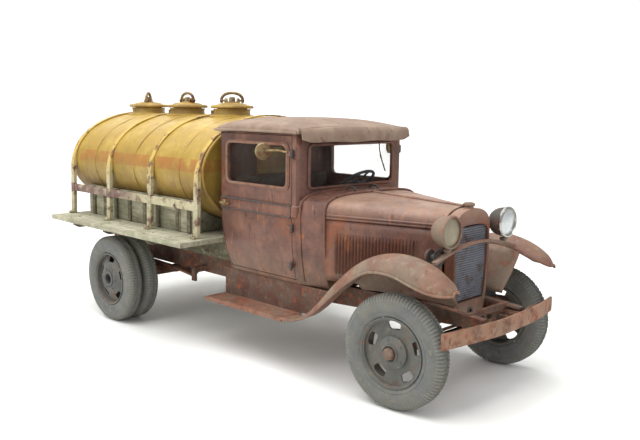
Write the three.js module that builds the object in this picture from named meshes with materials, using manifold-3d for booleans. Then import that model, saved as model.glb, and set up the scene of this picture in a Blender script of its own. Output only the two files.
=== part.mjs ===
// Tank truck of the early 1930s at 1:16: chassis, running gear, cab, folding hood, flat deck and oval tank.
// Millimetres, +Z up. The truck faces -Y and its left side is +X. The origin is on the ground, under the
// middle of the truck. A station s is measured forwards from the rear axle.
import * as THREE from 'three';
import { mergeVertices } from 'three/addons/utils/BufferGeometryUtils.js';
import Module from 'manifold-3d';

const wasm = await Module();
wasm.setup();

// ---------------------------------------------------------------- driving dimensions
const GAP = 0.35; // between pieces that would touch

const WHEELBASE = 208.8;
const TYRE_R = 26;
const TYRE_HALF_W = 4.8;
const RIM_R = 15.9;
const FRONT_WHEEL_X = 43.8;
const KING_PIN_X = 36.5;
const REAR_WHEEL_X = 58.4;
const DUAL_PITCH = 11.2;
const STEER_AT_REST = THREE.MathUtils.degToRad(5); // front wheels turned to the truck's left
const STEER_ARM = 9;

const DECK = { rear: -61, front: 83, halfW: 68, bottom: 57, top: 59.8 };
const RAIL_TOP = 42.6;

const TANK = { rear: -64, front: 79.6, a: 50.5, b: 31.5, z: 94.5, wall: 1.1 };
const HATCH_STATIONS = [-48.6, -3, 43];
const HATCH = { neckR: 11, boreR: 9.6, lidR: 13, neckTop: 129.9 };
const BAIL_TURNS = [44, 90, 134]; // degrees from +X of each bail's pivot line
const BAIL = { halfW: 6.5, rise: 4.7, wire: 1.0, pivotZ: 134.9 };

const CAB = { rear: 82.5, front: 142.6, halfW: 41, floor: 43, top: 118.2, wall: 1.2 };
const HINGE = { x: 42, s: 140.5 }; // vertical pivot line of the doors
const HOOD = {
  rear: 158, front: 212.5, rearW: 35.4, frontW: 15.4, split: 78.2, crownRear: 88.8, crownFront: 86.9,
};
const HOOD_SIDE_BOTTOM = 47.9;

const RADIATOR = { back: 212.9, front: 218.6, halfW: 14.6, bottom: 32.6, shoulder: 76.5, apex: 86.5 };
const LAMP = { x: 23.3, z: 78.2, r: 7.6, face: 223.4, back: 213.2 };
const BUMPER = { front: 241.5, halfW: 46, bow: 5.2, bottom: 32.9, top: 40.2, t: 1.3 };

const MIDDLE = (BUMPER.front + TANK.rear) / 2;
const Y = (s) => MIDDLE - s;
const at = (x, s, z) => new THREE.Vector3(x, Y(s), z);
const lerp = THREE.MathUtils.lerp;

// ---------------------------------------------------------------- materials
const paints = {
  rust: [0x7a4a3c, 0.75, 0.35],
  dust: [0x8a7662, 0.85, 0.2],
  dark: [0x3a302c, 0.8, 0.3],
  tank: [0xcdb765, 0.6, 0.2],
  pale: [0xb5ae98, 0.85, 0.1],
  wood: [0xb9b49a, 0.95, 0],
  tyre: [0x4d4f50, 0.95, 0],
  wheel: [0x5b5a57, 0.8, 0.2],
  core: [0x555a68, 0.7, 0.4],
  glass: [0xcfd8d8, 0.05, 0],
  seat: [0x3f3029, 0.9, 0],
};
const paint = (name) => {
  const [color, roughness, metalness] = paints[name];
  return new THREE.MeshStandardMaterial({ color, roughness, metalness });
};

// ---------------------------------------------------------------- solids
function solid(geometry) {
  const bare = geometry.clone();
  bare.deleteAttribute('normal');
  bare.deleteAttribute('uv');
  const merged = mergeVertices(bare, 1e-3);
  const corner = merged.index.array;
  const triangles = [];
  for (let i = 0; i < corner.length; i += 3) {
    const [a, b, c] = [corner[i], corner[i + 1], corner[i + 2]];
    if (a !== b && b !== c && a !== c) triangles.push(a, b, c);
  }
  const mesh = new wasm.Mesh({
    numProp: 3,
    vertProperties: new Float32Array(merged.attributes.position.array),
    triVerts: new Uint32Array(triangles),
  });
  return new wasm.Manifold(mesh);
}

function geometryOf(body) {
  const mesh = body.getMesh();
  const geometry = new THREE.BufferGeometry();
  geometry.setAttribute('position', new THREE.BufferAttribute(mesh.vertProperties.slice(), 3));
  geometry.setIndex(new THREE.BufferAttribute(mesh.triVerts.slice(), 1));
  geometry.computeVertexNormals();
  return geometry;
}

const join = (...bodies) => bodies.reduce((a, b) => a.add(b));
const cut = (body, ...tools) => tools.reduce((a, b) => a.subtract(b), body);

// A box from x0 to x1, stations s0 to s1 and heights z0 to z1.
function block(x0, x1, s0, s1, z0, z1) {
  const box = new THREE.BoxGeometry(Math.abs(x1 - x0), Math.abs(s1 - s0), Math.abs(z1 - z0));
  return solid(box.translate((x0 + x1) / 2, Y((s0 + s1) / 2), (z0 + z1) / 2));
}

const UPRIGHT = new THREE.Vector3(0, 1, 0); // the axis along which three.js makes a cylinder or a lathe

// A round bar between two points.
function bar(from, to, r, sides = 12, r2 = r) {
  const along = new THREE.Vector3().subVectors(to, from);
  const cylinder = new THREE.CylinderGeometry(r2, r, along.length(), sides);
  const turn = new THREE.Quaternion().setFromUnitVectors(UPRIGHT, along.clone().normalize());
  cylinder.applyQuaternion(turn);
  const middle = new THREE.Vector3().addVectors(from, to).multiplyScalar(0.5);
  return solid(cylinder.translate(...middle.toArray()));
}

// A turned piece: profile points are [radius, distance along axis].
function turned(profile, segments, axis = new THREE.Vector3(0, 0, 1)) {
  const lathe = new THREE.LatheGeometry(profile.map(([r, h]) => new THREE.Vector2(r, h)), segments);
  const turn = new THREE.Quaternion().setFromUnitVectors(UPRIGHT, axis.clone().normalize());
  lathe.applyQuaternion(turn);
  return solid(faceOut(lathe));
}

// Reverses a closed geometry whose faces point inwards.
function faceOut(geometry) {
  const indexed = geometry.index ? geometry : mergeVertices(geometry);
  const p = indexed.attributes.position;
  const k = indexed.index.array;
  let volume = 0;
  const [a, b, c] = [new THREE.Vector3(), new THREE.Vector3(), new THREE.Vector3()];
  for (let i = 0; i < k.length; i += 3) {
    a.fromBufferAttribute(p, k[i]);
    b.fromBufferAttribute(p, k[i + 1]);
    c.fromBufferAttribute(p, k[i + 2]);
    volume += a.dot(b.cross(c));
  }
  if (volume < 0) {
    for (let i = 0; i < k.length; i += 3) [k[i], k[i + 1]] = [k[i + 1], k[i]];
  }
  return indexed;
}

// A skin over rings of equal count, closed at both ends. flat gives a ring's own plane.
const inXZ = (p) => new THREE.Vector2(p.x, p.z);
const inXY = (p) => new THREE.Vector2(p.x, p.y);
const inYZ = (p) => new THREE.Vector2(p.y, p.z);
function loft(rings, flat = inXZ) {
  const n = rings[0].length;
  const points = rings.flat();
  const index = [];
  for (let r = 0; r + 1 < rings.length; r++) {
    for (let i = 0; i < n; i++) {
      const [a, b] = [r * n + i, r * n + ((i + 1) % n)];
      index.push(a, b, b + n, a, b + n, a + n);
    }
  }
  const cap = (ring, offset, reversed) => {
    const outline = ring.map(flat);
    const winding = Math.sign(THREE.ShapeUtils.area(outline));
    for (const face of THREE.ShapeUtils.triangulateShape(outline, [])) {
      const same = Math.sign(THREE.ShapeUtils.area(face.map((i) => outline[i]))) === winding;
      const [a, b, c] = same !== reversed ? face : [face[0], face[2], face[1]];
      index.push(a + offset, b + offset, c + offset);
    }
  };
  cap(rings[0], 0, true);
  cap(rings[rings.length - 1], (rings.length - 1) * n, false);
  const geometry = new THREE.BufferGeometry().setFromPoints(points);
  geometry.setIndex(index);
  return solid(faceOut(geometry));
}

// An outline of [x, z] pushed forwards from station s0 to s1.
function extrudeAlong(outline, s0, s1) {
  return loft([s0, s1].map((s) => outline.map(([x, z]) => at(x, s, z))));
}

// An outline of [s, z] pushed sideways from x0 to x1.
function extrudeAcross(outline, x0, x1) {
  return loft([x0, x1].map((x) => outline.map(([s, z]) => at(x, s, z))), inYZ);
}

function roundedRect(u0, u1, v0, v1, r, steps = 3) {
  const points = [];
  const corners = [[u1 - r, v1 - r, 0], [u0 + r, v1 - r, 1], [u0 + r, v0 + r, 2], [u1 - r, v0 + r, 3]];
  for (const [cu, cv, quarter] of corners) {
    for (let i = 0; i <= steps; i++) {
      const t = (quarter + i / steps) * (Math.PI / 2);
      points.push([cu + r * Math.cos(t), cv + r * Math.sin(t)]);
    }
  }
  return points;
}

function ellipse(a, b, cz, count) {
  return Array.from({ length: count }, (_, i) => {
    const t = (i / count) * 2 * Math.PI;
    return [a * Math.cos(t), cz + b * Math.sin(t)];
  });
}

// Straight-line reading of a table of [where, value] rows.
function table(rows, where) {
  if (where <= rows[0][0]) return rows[0][1];
  for (let i = 1; i < rows.length; i++) {
    const [[u0, v0], [u1, v1]] = [rows[i - 1], rows[i]];
    if (where <= u1) return lerp(v0, v1, (where - u0) / (u1 - u0));
  }
  return rows[rows.length - 1][1];
}

// ---------------------------------------------------------------- scene graph
const truck = new THREE.Group();
function add(name, body, colour, parent = truck) {
  const mesh = new THREE.Mesh(geometryOf(body), paint(colour));
  mesh.name = name;
  parent.add(mesh);
  return mesh;
}
const sides = [['left', 1], ['right', -1]];

// ---------------------------------------------------------------- chassis frame
const RAIL = { flange: 4, web: 1.4, t: 1.2 };
const railOuter = (s) => table([[112, 24], [206, 17.8], [240, 17.8]], s);
function frameRail(side) {
  const rings = [-58, 60, 112, 150, 206, 226, 236.4].map((s) => {
    const outer = railOuter(s);
    const bottom = table([[150, 32.4], [206, 34.4], [236, 36]], s);
    const top = table([[206, RAIL_TOP], [236, 40.4]], s);
    const [web, lip] = [outer - RAIL.web, outer - RAIL.flange];
    const section = [[outer, bottom], [outer, top], [lip, top], [lip, top - RAIL.t],
      [web, top - RAIL.t], [web, bottom + RAIL.t], [lip, bottom + RAIL.t], [lip, bottom]];
    return section.map(([x, z]) => at(side * x, s, z));
  });
  return loft(rings);
}

function chassisFrame() {
  const crossBars = [[-56, 3.5], [-30, 3], [88, 3], [150, 3], [205.4, 3], [228, 2.4]].map(([s, width]) => {
    const reach = railOuter(s) - 0.6;
    return block(-reach, reach, s - width / 2, s + width / 2, 38.8, 41.4);
  });
  const outriggers = [[94, 24], [132, 22.5]].flatMap(([s, x]) =>
    sides.map(([, side]) => block(side * (x - 1.5), side * 34.8, s - 1.5, s + 1.5, 33.4, 36)));
  const springHangers = [-46, 47].flatMap((s) =>
    sides.map(([, side]) => join(
      block(side * 22.8, side * 33.4, s - 1.8, s + 1.8, 33.4, 36.6),
      block(side * 31.9, side * 33.4, s - 1.8, s + 1.8, 28.2, 36),
    )));
  return join(frameRail(1), frameRail(-1), ...crossBars, ...outriggers, ...springHangers);
}
add('chassis_frame', chassisFrame(), 'dark');

// ---------------------------------------------------------------- axles and springs
// A leaf spring: a bent strip from u0 to u1, as [u, z] with an arch of the given rise.
function leafOutline(u0, u1, z0, rise, thick) {
  const steps = 6;
  const z = (t) => z0 + rise * (1 - (2 * t - 1) ** 2);
  const line = (offset) => Array.from({ length: steps + 1 }, (_, i) => {
    const t = i / steps;
    return [lerp(u0, u1, t), z(t) + offset];
  });
  return [...line(0), ...line(thick).reverse()];
}

function rearAxle() {
  const tube = bar(at(-40, 0, TYRE_R), at(40, 0, TYRE_R), 2.8, 12);
  const spindle = bar(at(-55, 0, TYRE_R), at(55, 0, TYRE_R), 2.2, 20);
  const differential = turned([[0, -5], [4, -5], [7, -1.6], [7, 1.6], [4, 5], [0, 5]], 14,
    new THREE.Vector3(1, 0, 0)).translate([0, Y(0), TYRE_R]);
  const torqueTube = bar(at(0, 4, TYRE_R + 0.5), at(0, 146, 34.4), 3, 10, 1.7);
  const springs = sides.flatMap(([, side]) => {
    const leaves = [[44, 2], [26, 3.6]].map(([reach, drop]) => {
      const rise = 2.6 * (reach / 44) ** 2;
      return extrudeAcross(leafOutline(-reach, reach, 34.4 - drop - rise, rise, 1.3), side * 28.4, side * 31.4);
    });
    const saddle = block(side * 27.8, side * 32, -4, 4, 26, 33.6);
    return [...leaves, saddle];
  });
  return join(tube, spindle, differential, torqueTube, ...springs);
}
add('rear_axle', rearAxle(), 'dark');

const KING_PIN = { r: 0.95, eye: 1.06, bossR: 2.2, low: 22.6, high: 29.4 };
function frontAxle() {
  const beam = block(-34.8, 34.8, WHEELBASE - 1.3, WHEELBASE + 1.3, 23.4, 26.4);
  const bosses = sides.map(([, side]) => cut(
    bar(at(side * KING_PIN_X, WHEELBASE, KING_PIN.low), at(side * KING_PIN_X, WHEELBASE, KING_PIN.high),
      KING_PIN.bossR, 12),
    bar(at(side * KING_PIN_X, WHEELBASE, 20), at(side * KING_PIN_X, WHEELBASE, 32), KING_PIN.eye, 12),
  ));
  const spring = extrudeAlong(leafOutline(-29, 29, 29.2, 4, 1.5), WHEELBASE - 1.6, WHEELBASE + 1.6);
  const perches = sides.map(([, side]) =>
    block(side * 26.6, side * 29.4, WHEELBASE - 1.2, WHEELBASE + 1.2, 25.6, 30.4));
  return join(beam, ...bosses, spring, ...perches);
}
add('front_axle', frontAxle(), 'dark');

// ---------------------------------------------------------------- wheels, built about their own centres
const outwards = (side) => new THREE.Vector3(side, 0, 0);
const SPINDLE_R = 1.5;
const SPINDLE_BORE = 1.6;
const HUB_BORE = 2.5;

function tyre(side) {
  const [w, inner] = [TYRE_HALF_W, RIM_R + GAP];
  const bead = 3.9;
  const flank = [[inner, bead], [20.6, w], [23.6, w - 0.6], [25.3, w - 1.7], [TYRE_R, w - 2.9]];
  const profile = [...flank.map(([r, h]) => [r, -h]), ...flank.toReversed(), [inner, -bead]];
  return turned(profile, 24, outwards(side));
}

// Five windows near the rim of a wheel disc, one of them at the top.
const WINDOW_COUNT = 5;
function windows(side, h0, h1) {
  const outline = [[-3.2, 13.9], [3.2, 13.9], [2.3, 10.3], [-2.3, 10.3]].map(([u, v]) => new THREE.Vector2(u, v));
  const [pitch, first] = [2 * Math.PI / WINDOW_COUNT, side * Math.PI / 10];
  return Array.from({ length: WINDOW_COUNT }, (_, k) => {
    const prism = new THREE.ExtrudeGeometry(new THREE.Shape(outline), { depth: h1 - h0, bevelEnabled: false });
    prism.translate(0, 0, h0).rotateZ(first + k * pitch);
    prism.rotateY(side * Math.PI / 2);
    return solid(prism);
  });
}

function frontRim(side) {
  const profile = [[0, 5.4], [2.2, 5.4], [2.9, 4.8], [3, 3.2], [6.4, 2.8], [7, 1.4], [9.6, 0.7],
    [13.8, 1.4], [14.9, 2.2], [15.1, 4.2], [RIM_R, 4.3], [RIM_R, -4.2], [15.1, -4.1], [14.7, 0.4],
    [9.4, -0.5], [6, -0.8], [5.2, -3.2], [SPINDLE_BORE, -3.2], [SPINDLE_BORE, 2.2], [0, 2.2]];
  return cut(turned(profile, 15, outwards(side)), ...windows(side, -1.5, 3));
}

function rearRim(side) {
  const inner = -DUAL_PITCH;
  const profile = [[0, 0.6], [3.2, 0.4], [3.6, -2.4], [6.6, -3.1], [9.2, -2.9], [13.6, -0.4],
    [14.7, 0.8], [15, 4.2], [RIM_R, 4.3], [RIM_R, -4.2], [15, -4.3], [13.2, -5.4], [15, inner + 4.3],
    [RIM_R, inner + 4.2], [RIM_R, inner - 4.3], [15, inner - 4.2], [14.2, inner + 2.4],
    [9, inner + 4.2], [5, inner + 4], [4.6, -13], [HUB_BORE, -13], [HUB_BORE, -2], [0, -2]];
  return cut(turned(profile, 15, outwards(side)), ...windows(side, -3.4, 3));
}

// The stub that carries a front wheel: two ears on the king pin, the spindle and the steering arm.
function knuckle(side) {
  const local = (x, ahead, z) => new THREE.Vector3(side * x, -ahead, z);
  const ear = (z0, z1) => {
    const round = bar(local(0, 0, z0), local(0, 0, z1), 2.2, 12);
    const web = new THREE.BoxGeometry(3.2, 3.4, z1 - z0).translate(side * 1.9, 0, (z0 + z1) / 2);
    return join(round, solid(web));
  };
  const plate = new THREE.BoxGeometry(1.1, 3.4, 11).translate(side * 3.2, 0, TYRE_R);
  const arm = new THREE.BoxGeometry(2, STEER_ARM + 1, 1.5).translate(0, STEER_ARM / 2 + 0.5, 21.4);
  const reach = FRONT_WHEEL_X - KING_PIN_X;
  return join(ear(20.6, 22.2), ear(29.8, 31.4), bar(local(0, 0, 21), local(0, 0, 31), KING_PIN.r, 12),
    solid(plate), solid(arm), bar(local(3, 0, TYRE_R), local(reach + 1.9, 0, TYRE_R), SPINDLE_R, 12));
}

for (const [name, side] of sides) {
  const corner = new THREE.Group();
  corner.position.copy(at(side * KING_PIN_X, WHEELBASE, 0));
  corner.rotation.z = STEER_AT_REST;
  truck.add(corner);
  add(`steering_knuckle_${name}`, knuckle(side), 'dark', corner);
  const hub = new THREE.Group();
  hub.position.set(side * (FRONT_WHEEL_X - KING_PIN_X), 0, TYRE_R);
  corner.add(hub);
  add(`front_rim_${name}`, frontRim(side), 'wheel', hub);
  add(`front_tyre_${name}`, tyre(side), 'tyre', hub);

  const rearHub = new THREE.Group();
  rearHub.position.copy(at(side * REAR_WHEEL_X, 0, TYRE_R));
  truck.add(rearHub);
  add(`rear_rim_${name}`, rearRim(side), 'wheel', rearHub);
  add(`rear_tyre_${name}_outer`, tyre(side), 'tyre', rearHub);
  add(`rear_tyre_${name}_inner`, tyre(side), 'tyre', rearHub).position.x = -side * DUAL_PITCH;
}

function tieRod() {
  const [shift, back] = [-STEER_ARM * Math.sin(STEER_AT_REST), STEER_ARM * Math.cos(STEER_AT_REST)];
  const end = (side) => at(side * KING_PIN_X + shift, WHEELBASE - back, 23.5);
  const eyes = sides.map(([, side]) => {
    const centre = end(side);
    return bar(centre.clone().setZ(22.6), centre.clone().setZ(24.4), 1.5, 12);
  });
  return join(bar(end(1), end(-1), 0.8, 10), ...eyes);
}
add('tie_rod', tieRod(), 'dark');

// ---------------------------------------------------------------- deck, its frame and the tank's cradle
// The planks run lengthwise. Their joints are shallow grooves in the deck's top, and the outer ones stay clear
// of the tank's cage, so that the outer boards have free flat tops.
const PLANKS = { joints: [-56, -40, -24, -8, 8, 24, 40, 56], groove: 0.5, depth: 0.6 };
function deck() {
  const { rear, front, halfW, bottom, top } = DECK;
  const half = PLANKS.groove / 2;
  const grooves = PLANKS.joints.map((x) =>
    block(x - half, x + half, rear - 1, front + 1, top - PLANKS.depth, top + 1));
  return cut(block(-halfW, halfW, rear, front, bottom, top), ...grooves);
}
add('deck_planks', deck(), 'wood');

function deckFrame() {
  const sills = sides.map(([, side]) => block(side * 20.6, side * 25.4, -58, 82, RAIL_TOP + GAP, 54));
  const bolsters = [-40, -3, 44].map((s) => {
    const outline = [[-63, 56.6], [-63, 54.6], [-60.5, 53.2], [60.5, 53.2], [63, 54.6], [63, 56.6]];
    return extrudeAlong(outline, s - 2, s + 2);
  });
  return join(...sills, ...bolsters);
}
add('deck_frame', deckFrame(), 'wood');

function cradle() {
  const low = DECK.top + GAP;
  const boards = sides.map(([, side]) => block(side * 43.6, side * 45.4, -51, 64, low, 79));
  const saddles = [-48, 6, 60].map((s) => block(-44, 44, s - 1.4, s + 1.4, low, 76));
  const battens = sides.flatMap(([, side]) =>
    [-30, 16, 50].map((s) => block(side * 45, side * 46.1, s - 2, s + 2, low, 78)));
  const relief = extrudeAlong(ellipse(TANK.a + 0.4, TANK.b + 0.4, TANK.z, 48), -70, 90);
  return cut(join(...boards, ...saddles, ...battens), relief);
}
add('tank_cradle', cradle(), 'wood');

// ---------------------------------------------------------------- tank, hoops, lids and bails
function tankShell() {
  const recess = 1.6;
  const { a, b, z, wall, rear, front } = TANK;
  const outer = extrudeAlong(ellipse(a, b, z, 32), rear, front);
  const core = (s0, s1) => extrudeAlong(ellipse(a - wall, b - wall, z, 32), s0, s1);
  const inner = core(rear + recess + wall, front - recess - wall);
  const post = (s, r, z0, z1) => bar(at(0, s, z0), at(0, s, z1), r, 16);
  const necks = HATCH_STATIONS.map((s) => post(s, HATCH.neckR, 118, HATCH.neckTop));
  const bores = HATCH_STATIONS.map((s) => post(s, HATCH.boreR, 112, HATCH.neckTop + 2));
  return cut(cut(join(outer, ...necks), inner), ...bores, core(rear - 1, rear + recess),
    core(front - recess, front + 1));
}
add('tank_shell', tankShell(), 'tank');

// A strap over the tank with straight legs down to the deck.
const STRAP = { clear: 0.5, t: 1.2, width: 3.4, stations: [-59.2, -13.9, 31.6, 76.9] };
function strap(s) {
  const steps = 14;
  const line = (offset) => {
    const [a, b] = [TANK.a + offset, TANK.b + offset];
    const arch = Array.from({ length: steps + 1 }, (_, i) => {
      const t = (i / steps) * Math.PI;
      return [a * Math.cos(t), TANK.z + b * Math.sin(t)];
    });
    return [[a, DECK.top + GAP], ...arch, [-a, DECK.top + GAP]];
  };
  const outline = [...line(STRAP.clear + STRAP.t), ...line(STRAP.clear).reverse()];
  return extrudeAlong(outline, s - STRAP.width / 2, s + STRAP.width / 2);
}
function tankHoops() {
  const rails = sides.map(([, side]) => block(side * 49.9, side * 51.6, -60.9, 78.6, 74.6, 79.4));
  const feet = STRAP.stations.flatMap((s) => sides.map(([, side]) =>
    block(side * 51, side * 55.4, s - 1.7, s + 1.7, DECK.top + GAP, DECK.top + GAP + 1)));
  const aroundNecks = HATCH_STATIONS.map((s) => bar(at(0, s, 120), at(0, s, 132), HATCH.neckR + GAP, 16));
  return cut(join(...STRAP.stations.map(strap), ...rails, ...feet), ...aroundNecks);
}
add('tank_hoops', tankHoops(), 'pale');

function fillLid() {
  const top = [[0, 133.8], [6, 133.6], [11.2, 132.6], [HATCH.lidR, 131.4], [HATCH.lidR, 130.3],
    [HATCH.boreR - 0.4, 130.3], [HATCH.boreR - 0.4, 128.4], [0, 128.4]];
  const lid = turned(top, 18);
  const bossHalf = BAIL.halfW - BAIL.wire - 0.9;
  const pivot = (x) => new THREE.Vector3(x, 0, BAIL.pivotZ);
  const saddle = new THREE.BoxGeometry(2 * bossHalf, 2.6, 2).translate(0, 0, BAIL.pivotZ - 1.2);
  const boss = join(bar(pivot(-bossHalf), pivot(bossHalf), 1.5, 12), solid(saddle));
  const nut = bar(new THREE.Vector3(0, 0, 133), new THREE.Vector3(0, 0, 137.2), 2.1, 6);
  const pinHoles = [1, -1].map((end) => bar(pivot(end * (bossHalf - 1.6)), pivot(end * (bossHalf + 1)), 0.62, 8));
  return cut(join(lid, boss, nut), ...pinHoles);
}

function bail() {
  const steps = 9;
  const { halfW, rise, wire, pivotZ } = BAIL;
  const rings = [];
  for (let i = 0; i <= steps; i++) {
    const t = (i / steps) * Math.PI;
    const centre = new THREE.Vector3(halfW * Math.cos(t), 0, pivotZ + rise * Math.sin(t));
    const tangent = new THREE.Vector3(-halfW * Math.sin(t), 0, rise * Math.cos(t)).normalize();
    const outward = new THREE.Vector3().crossVectors(tangent, new THREE.Vector3(0, 1, 0));
    rings.push(Array.from({ length: 6 }, (_, k) => {
      const angle = (k / 6) * 2 * Math.PI;
      return centre.clone().addScaledVector(outward, wire * Math.cos(angle))
        .add(new THREE.Vector3(0, wire * Math.sin(angle), 0));
    }));
  }
  const arch = loft(rings, inXY);
  const pins = [1, -1].map((end) => bar(new THREE.Vector3(end * (halfW - wire - 1.6), 0, pivotZ),
    new THREE.Vector3(end * halfW, 0, pivotZ), 0.52, 8));
  const feet = [1, -1].map((end) => bar(new THREE.Vector3(end * (halfW - wire), 0, pivotZ),
    new THREE.Vector3(end * (halfW + wire), 0, pivotZ), 1.15, 8));
  return join(arch, ...feet, ...pins);
}

HATCH_STATIONS.forEach((s, i) => {
  const hatch = new THREE.Group();
  hatch.position.copy(at(0, s, 0));
  hatch.rotation.z = THREE.MathUtils.degToRad(BAIL_TURNS[i]);
  truck.add(hatch);
  const name = ['rear', 'middle', 'front'][i];
  add(`fill_lid_${name}`, fillLid(), 'tank', hatch);
  add(`lid_bail_${name}`, bail(), 'tank', hatch);
});

// ---------------------------------------------------------------- cab
// The cab's plan outline at each height: it pulls in at the bottom of the sides and of the back.
const CAB_HALF_W = [[43, 36.7], [48, 38.1], [54, 39.3], [62, 40.3], [72, 40.9], [80, CAB.halfW]];
const CAB_REAR = [[43, 87.3], [48, 85.6], [54, 84.2], [62, 83.2], [72, 82.6], [80, CAB.rear]];
const REAR_CORNER = 2.2;
function cabPlan(z, inset) {
  const halfW = table(CAB_HALF_W, z) - inset;
  const back = table(CAB_REAR, z) + inset;
  const corner = REAR_CORNER - Math.min(inset, 1.2);
  const outline = roundedRect(-halfW, halfW, back, CAB.front - inset, corner, 2);
  return outline.map(([x, s]) => at(x, s, z));
}
function cabBlock(inset, z0, z1) {
  const heights = [z0, ...[48, 54, 62, 72, 80].filter((z) => z > z0 + 0.5 && z < z1 - 0.5), z1];
  return loft(heights.map((z) => cabPlan(z, inset)), inXY);
}

// The cowl's section, which is also the hood's: upright sides and a full crown over the split line.
function bodySection(s, inset, halfW, foot, split, crown, power) {
  const steps = 8;
  const w = halfW - inset;
  const arch = Array.from({ length: steps + 1 }, (_, i) => {
    const t = (i / steps) * Math.PI;
    const [c, d] = [Math.cos(t), Math.sin(t)];
    const x = w * Math.sign(c) * Math.abs(c) ** (2 / power);
    return [x, split + (crown - inset - split) * d ** (2 / power)];
  });
  const side = [foot, 48, 54, 62, 72].map((z) => [halfW * table(CAB_HALF_W, z) / CAB.halfW - inset, z]);
  const mirrored = side.map(([x, z]) => [-x, z]).reverse();
  return [...side, ...arch, ...mirrored].map(([x, z]) => at(x, s, z));
}
function cowl(inset, s0, s1, foot) {
  const rings = [s0, 144, 150, s1].map((s) => {
    const k = (s - 141) / (HOOD.rear - 141);
    const halfW = lerp(CAB.halfW - 0.1, HOOD.rearW + 0.3, Math.max(k, 0) ** 0.8);
    return bodySection(s, inset, halfW, foot, 78.5, lerp(90.2, HOOD.crownRear + 0.3, k), 4);
  });
  return loft(rings);
}

const DOOR_OUTLINE = [[84.8, 117.4], [84.8, 74], [85.6, 62], [86.6, 54], [88, 48.6], [89.2, 45.4],
  [139.4, 45.4], [139.4, 117.4]];
const WINDOW = { s0: 90, s1: 136, z0: 92, z1: 112.6, r: 3 };
function grown(outline, by) {
  const centre = [112, 80];
  return outline.map(([s, z]) => [s + by * Math.sign(s - centre[0]), z + by * Math.sign(z - centre[1])]);
}

function belt() {
  const rings = [[76.8, 0], [77.5, -0.7], [82.6, -0.7], [83.3, 0]].map(([z, inset]) => cabPlan(z, inset));
  return loft(rings, inXY);
}
const cabOuter = join(cabBlock(0, CAB.floor, CAB.top), belt());

function cabBody() {
  const shell = join(cabOuter, cowl(0, 140, HOOD.rear - GAP, CAB.floor));
  const floorTop = CAB.floor + 1.5;
  const room = join(cabBlock(CAB.wall, floorTop, CAB.top + 1), cowl(CAB.wall, 139, 156.2, floorTop));
  const windscreen = extrudeAlong(roundedRect(-32.6, 32.6, 91, 113.4, 2.5), 138, 146);
  const rearWindow = extrudeAlong(roundedRect(-15, 15, 93.5, 108.5, 2.5), 78, 88);
  const doorways = sides.map(([, side]) => extrudeAcross(grown(DOOR_OUTLINE, GAP), side * 30, side * 44));
  const hoodHinge = bar(at(0, 155, HOOD.crownRear + 0.2), at(0, 212.2, HOOD.crownFront + 0.2), 0.7, 10);
  return join(cut(shell, room, windscreen, rearWindow, ...doorways), hoodHinge);
}
add('cab_body', cabBody(), 'rust');

function door(side) {
  const thick = 1.6;
  const skin = cut(cabOuter, cabBlock(thick, CAB.floor - 1, CAB.top + 1));
  const blank = skin.intersect(extrudeAcross(DOOR_OUTLINE, side * 30, side * 44));
  const { s0, s1, z0, z1, r } = WINDOW;
  const ring = cut(
    extrudeAcross(roundedRect(s0 - 2.2, s1 + 2.2, z0 - 2, z1 + 2, r + 1), side * 40, side * 41.55),
    extrudeAcross(roundedRect(s0, s1, z0, z1, r), side * 38, side * 43),
  );
  const opening = extrudeAcross(roundedRect(s0, s1, z0, z1, r), side * 37, side * 44);
  const knuckles = [109, 72, 53].map((z) => {
    const skinX = table(CAB_HALF_W, z);
    return join(
      bar(at(side * HINGE.x, HINGE.s, z - 1.8), at(side * HINGE.x, HINGE.s, z + 1.8), 0.7, 10),
      block(side * (skinX + 0.4), side * (HINGE.x + 0.4), HINGE.s - 3.4, HINGE.s, z - 1.2, z + 1.2),
      block(side * (skinX - 0.9), side * (HINGE.x + 0.3), HINGE.s - 3.4, HINGE.s - 1.2, z - 1.2, z + 1.2),
    );
  });
  const handle = join(
    bar(at(side * 41, 87.2, 80), at(side * 43.6, 87.2, 80), 0.7, 8),
    bar(at(side * 43.4, 86, 80), at(side * 43.4, 92.4, 79.6), 0.65, 8),
  );
  return join(cut(blank, opening), ring, ...knuckles, handle);
}
function doorGlass(side) {
  const { s0, s1, z0, z1, r } = WINDOW;
  return extrudeAcross(roundedRect(s0 - 1.4, s1 + 1.2, z0 - 1.4, z1 + 1.4, r), side * 38.4, side * 39.05);
}
function mirror(side) {
  const centre = at(side * 49, 127.4, 109.8);
  const normal = new THREE.Vector3(side * 0.35, -1, 0).normalize();
  const head = turned([[0, -0.8], [3.9, -0.8], [4.3, 0], [4, 0.7], [1.4, 1.2], [0, 1.2]], 18, normal)
    .translate(centre.toArray());
  const arm = bar(at(side * 43.1, 138.4, 109.6), centre, 0.45, 6);
  return join(head, arm);
}
for (const [name, side] of sides) {
  add(`door_${name}`, door(side), 'rust');
  add(`door_glass_${name}`, doorGlass(side), 'glass');
  add(`mirror_${name}`, mirror(side), 'dust');
}
add('windscreen_glass', extrudeAlong(roundedRect(-33.6, 33.6, 90.4, 114.4, 2.5), 140.2, 140.9), 'glass');

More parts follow.
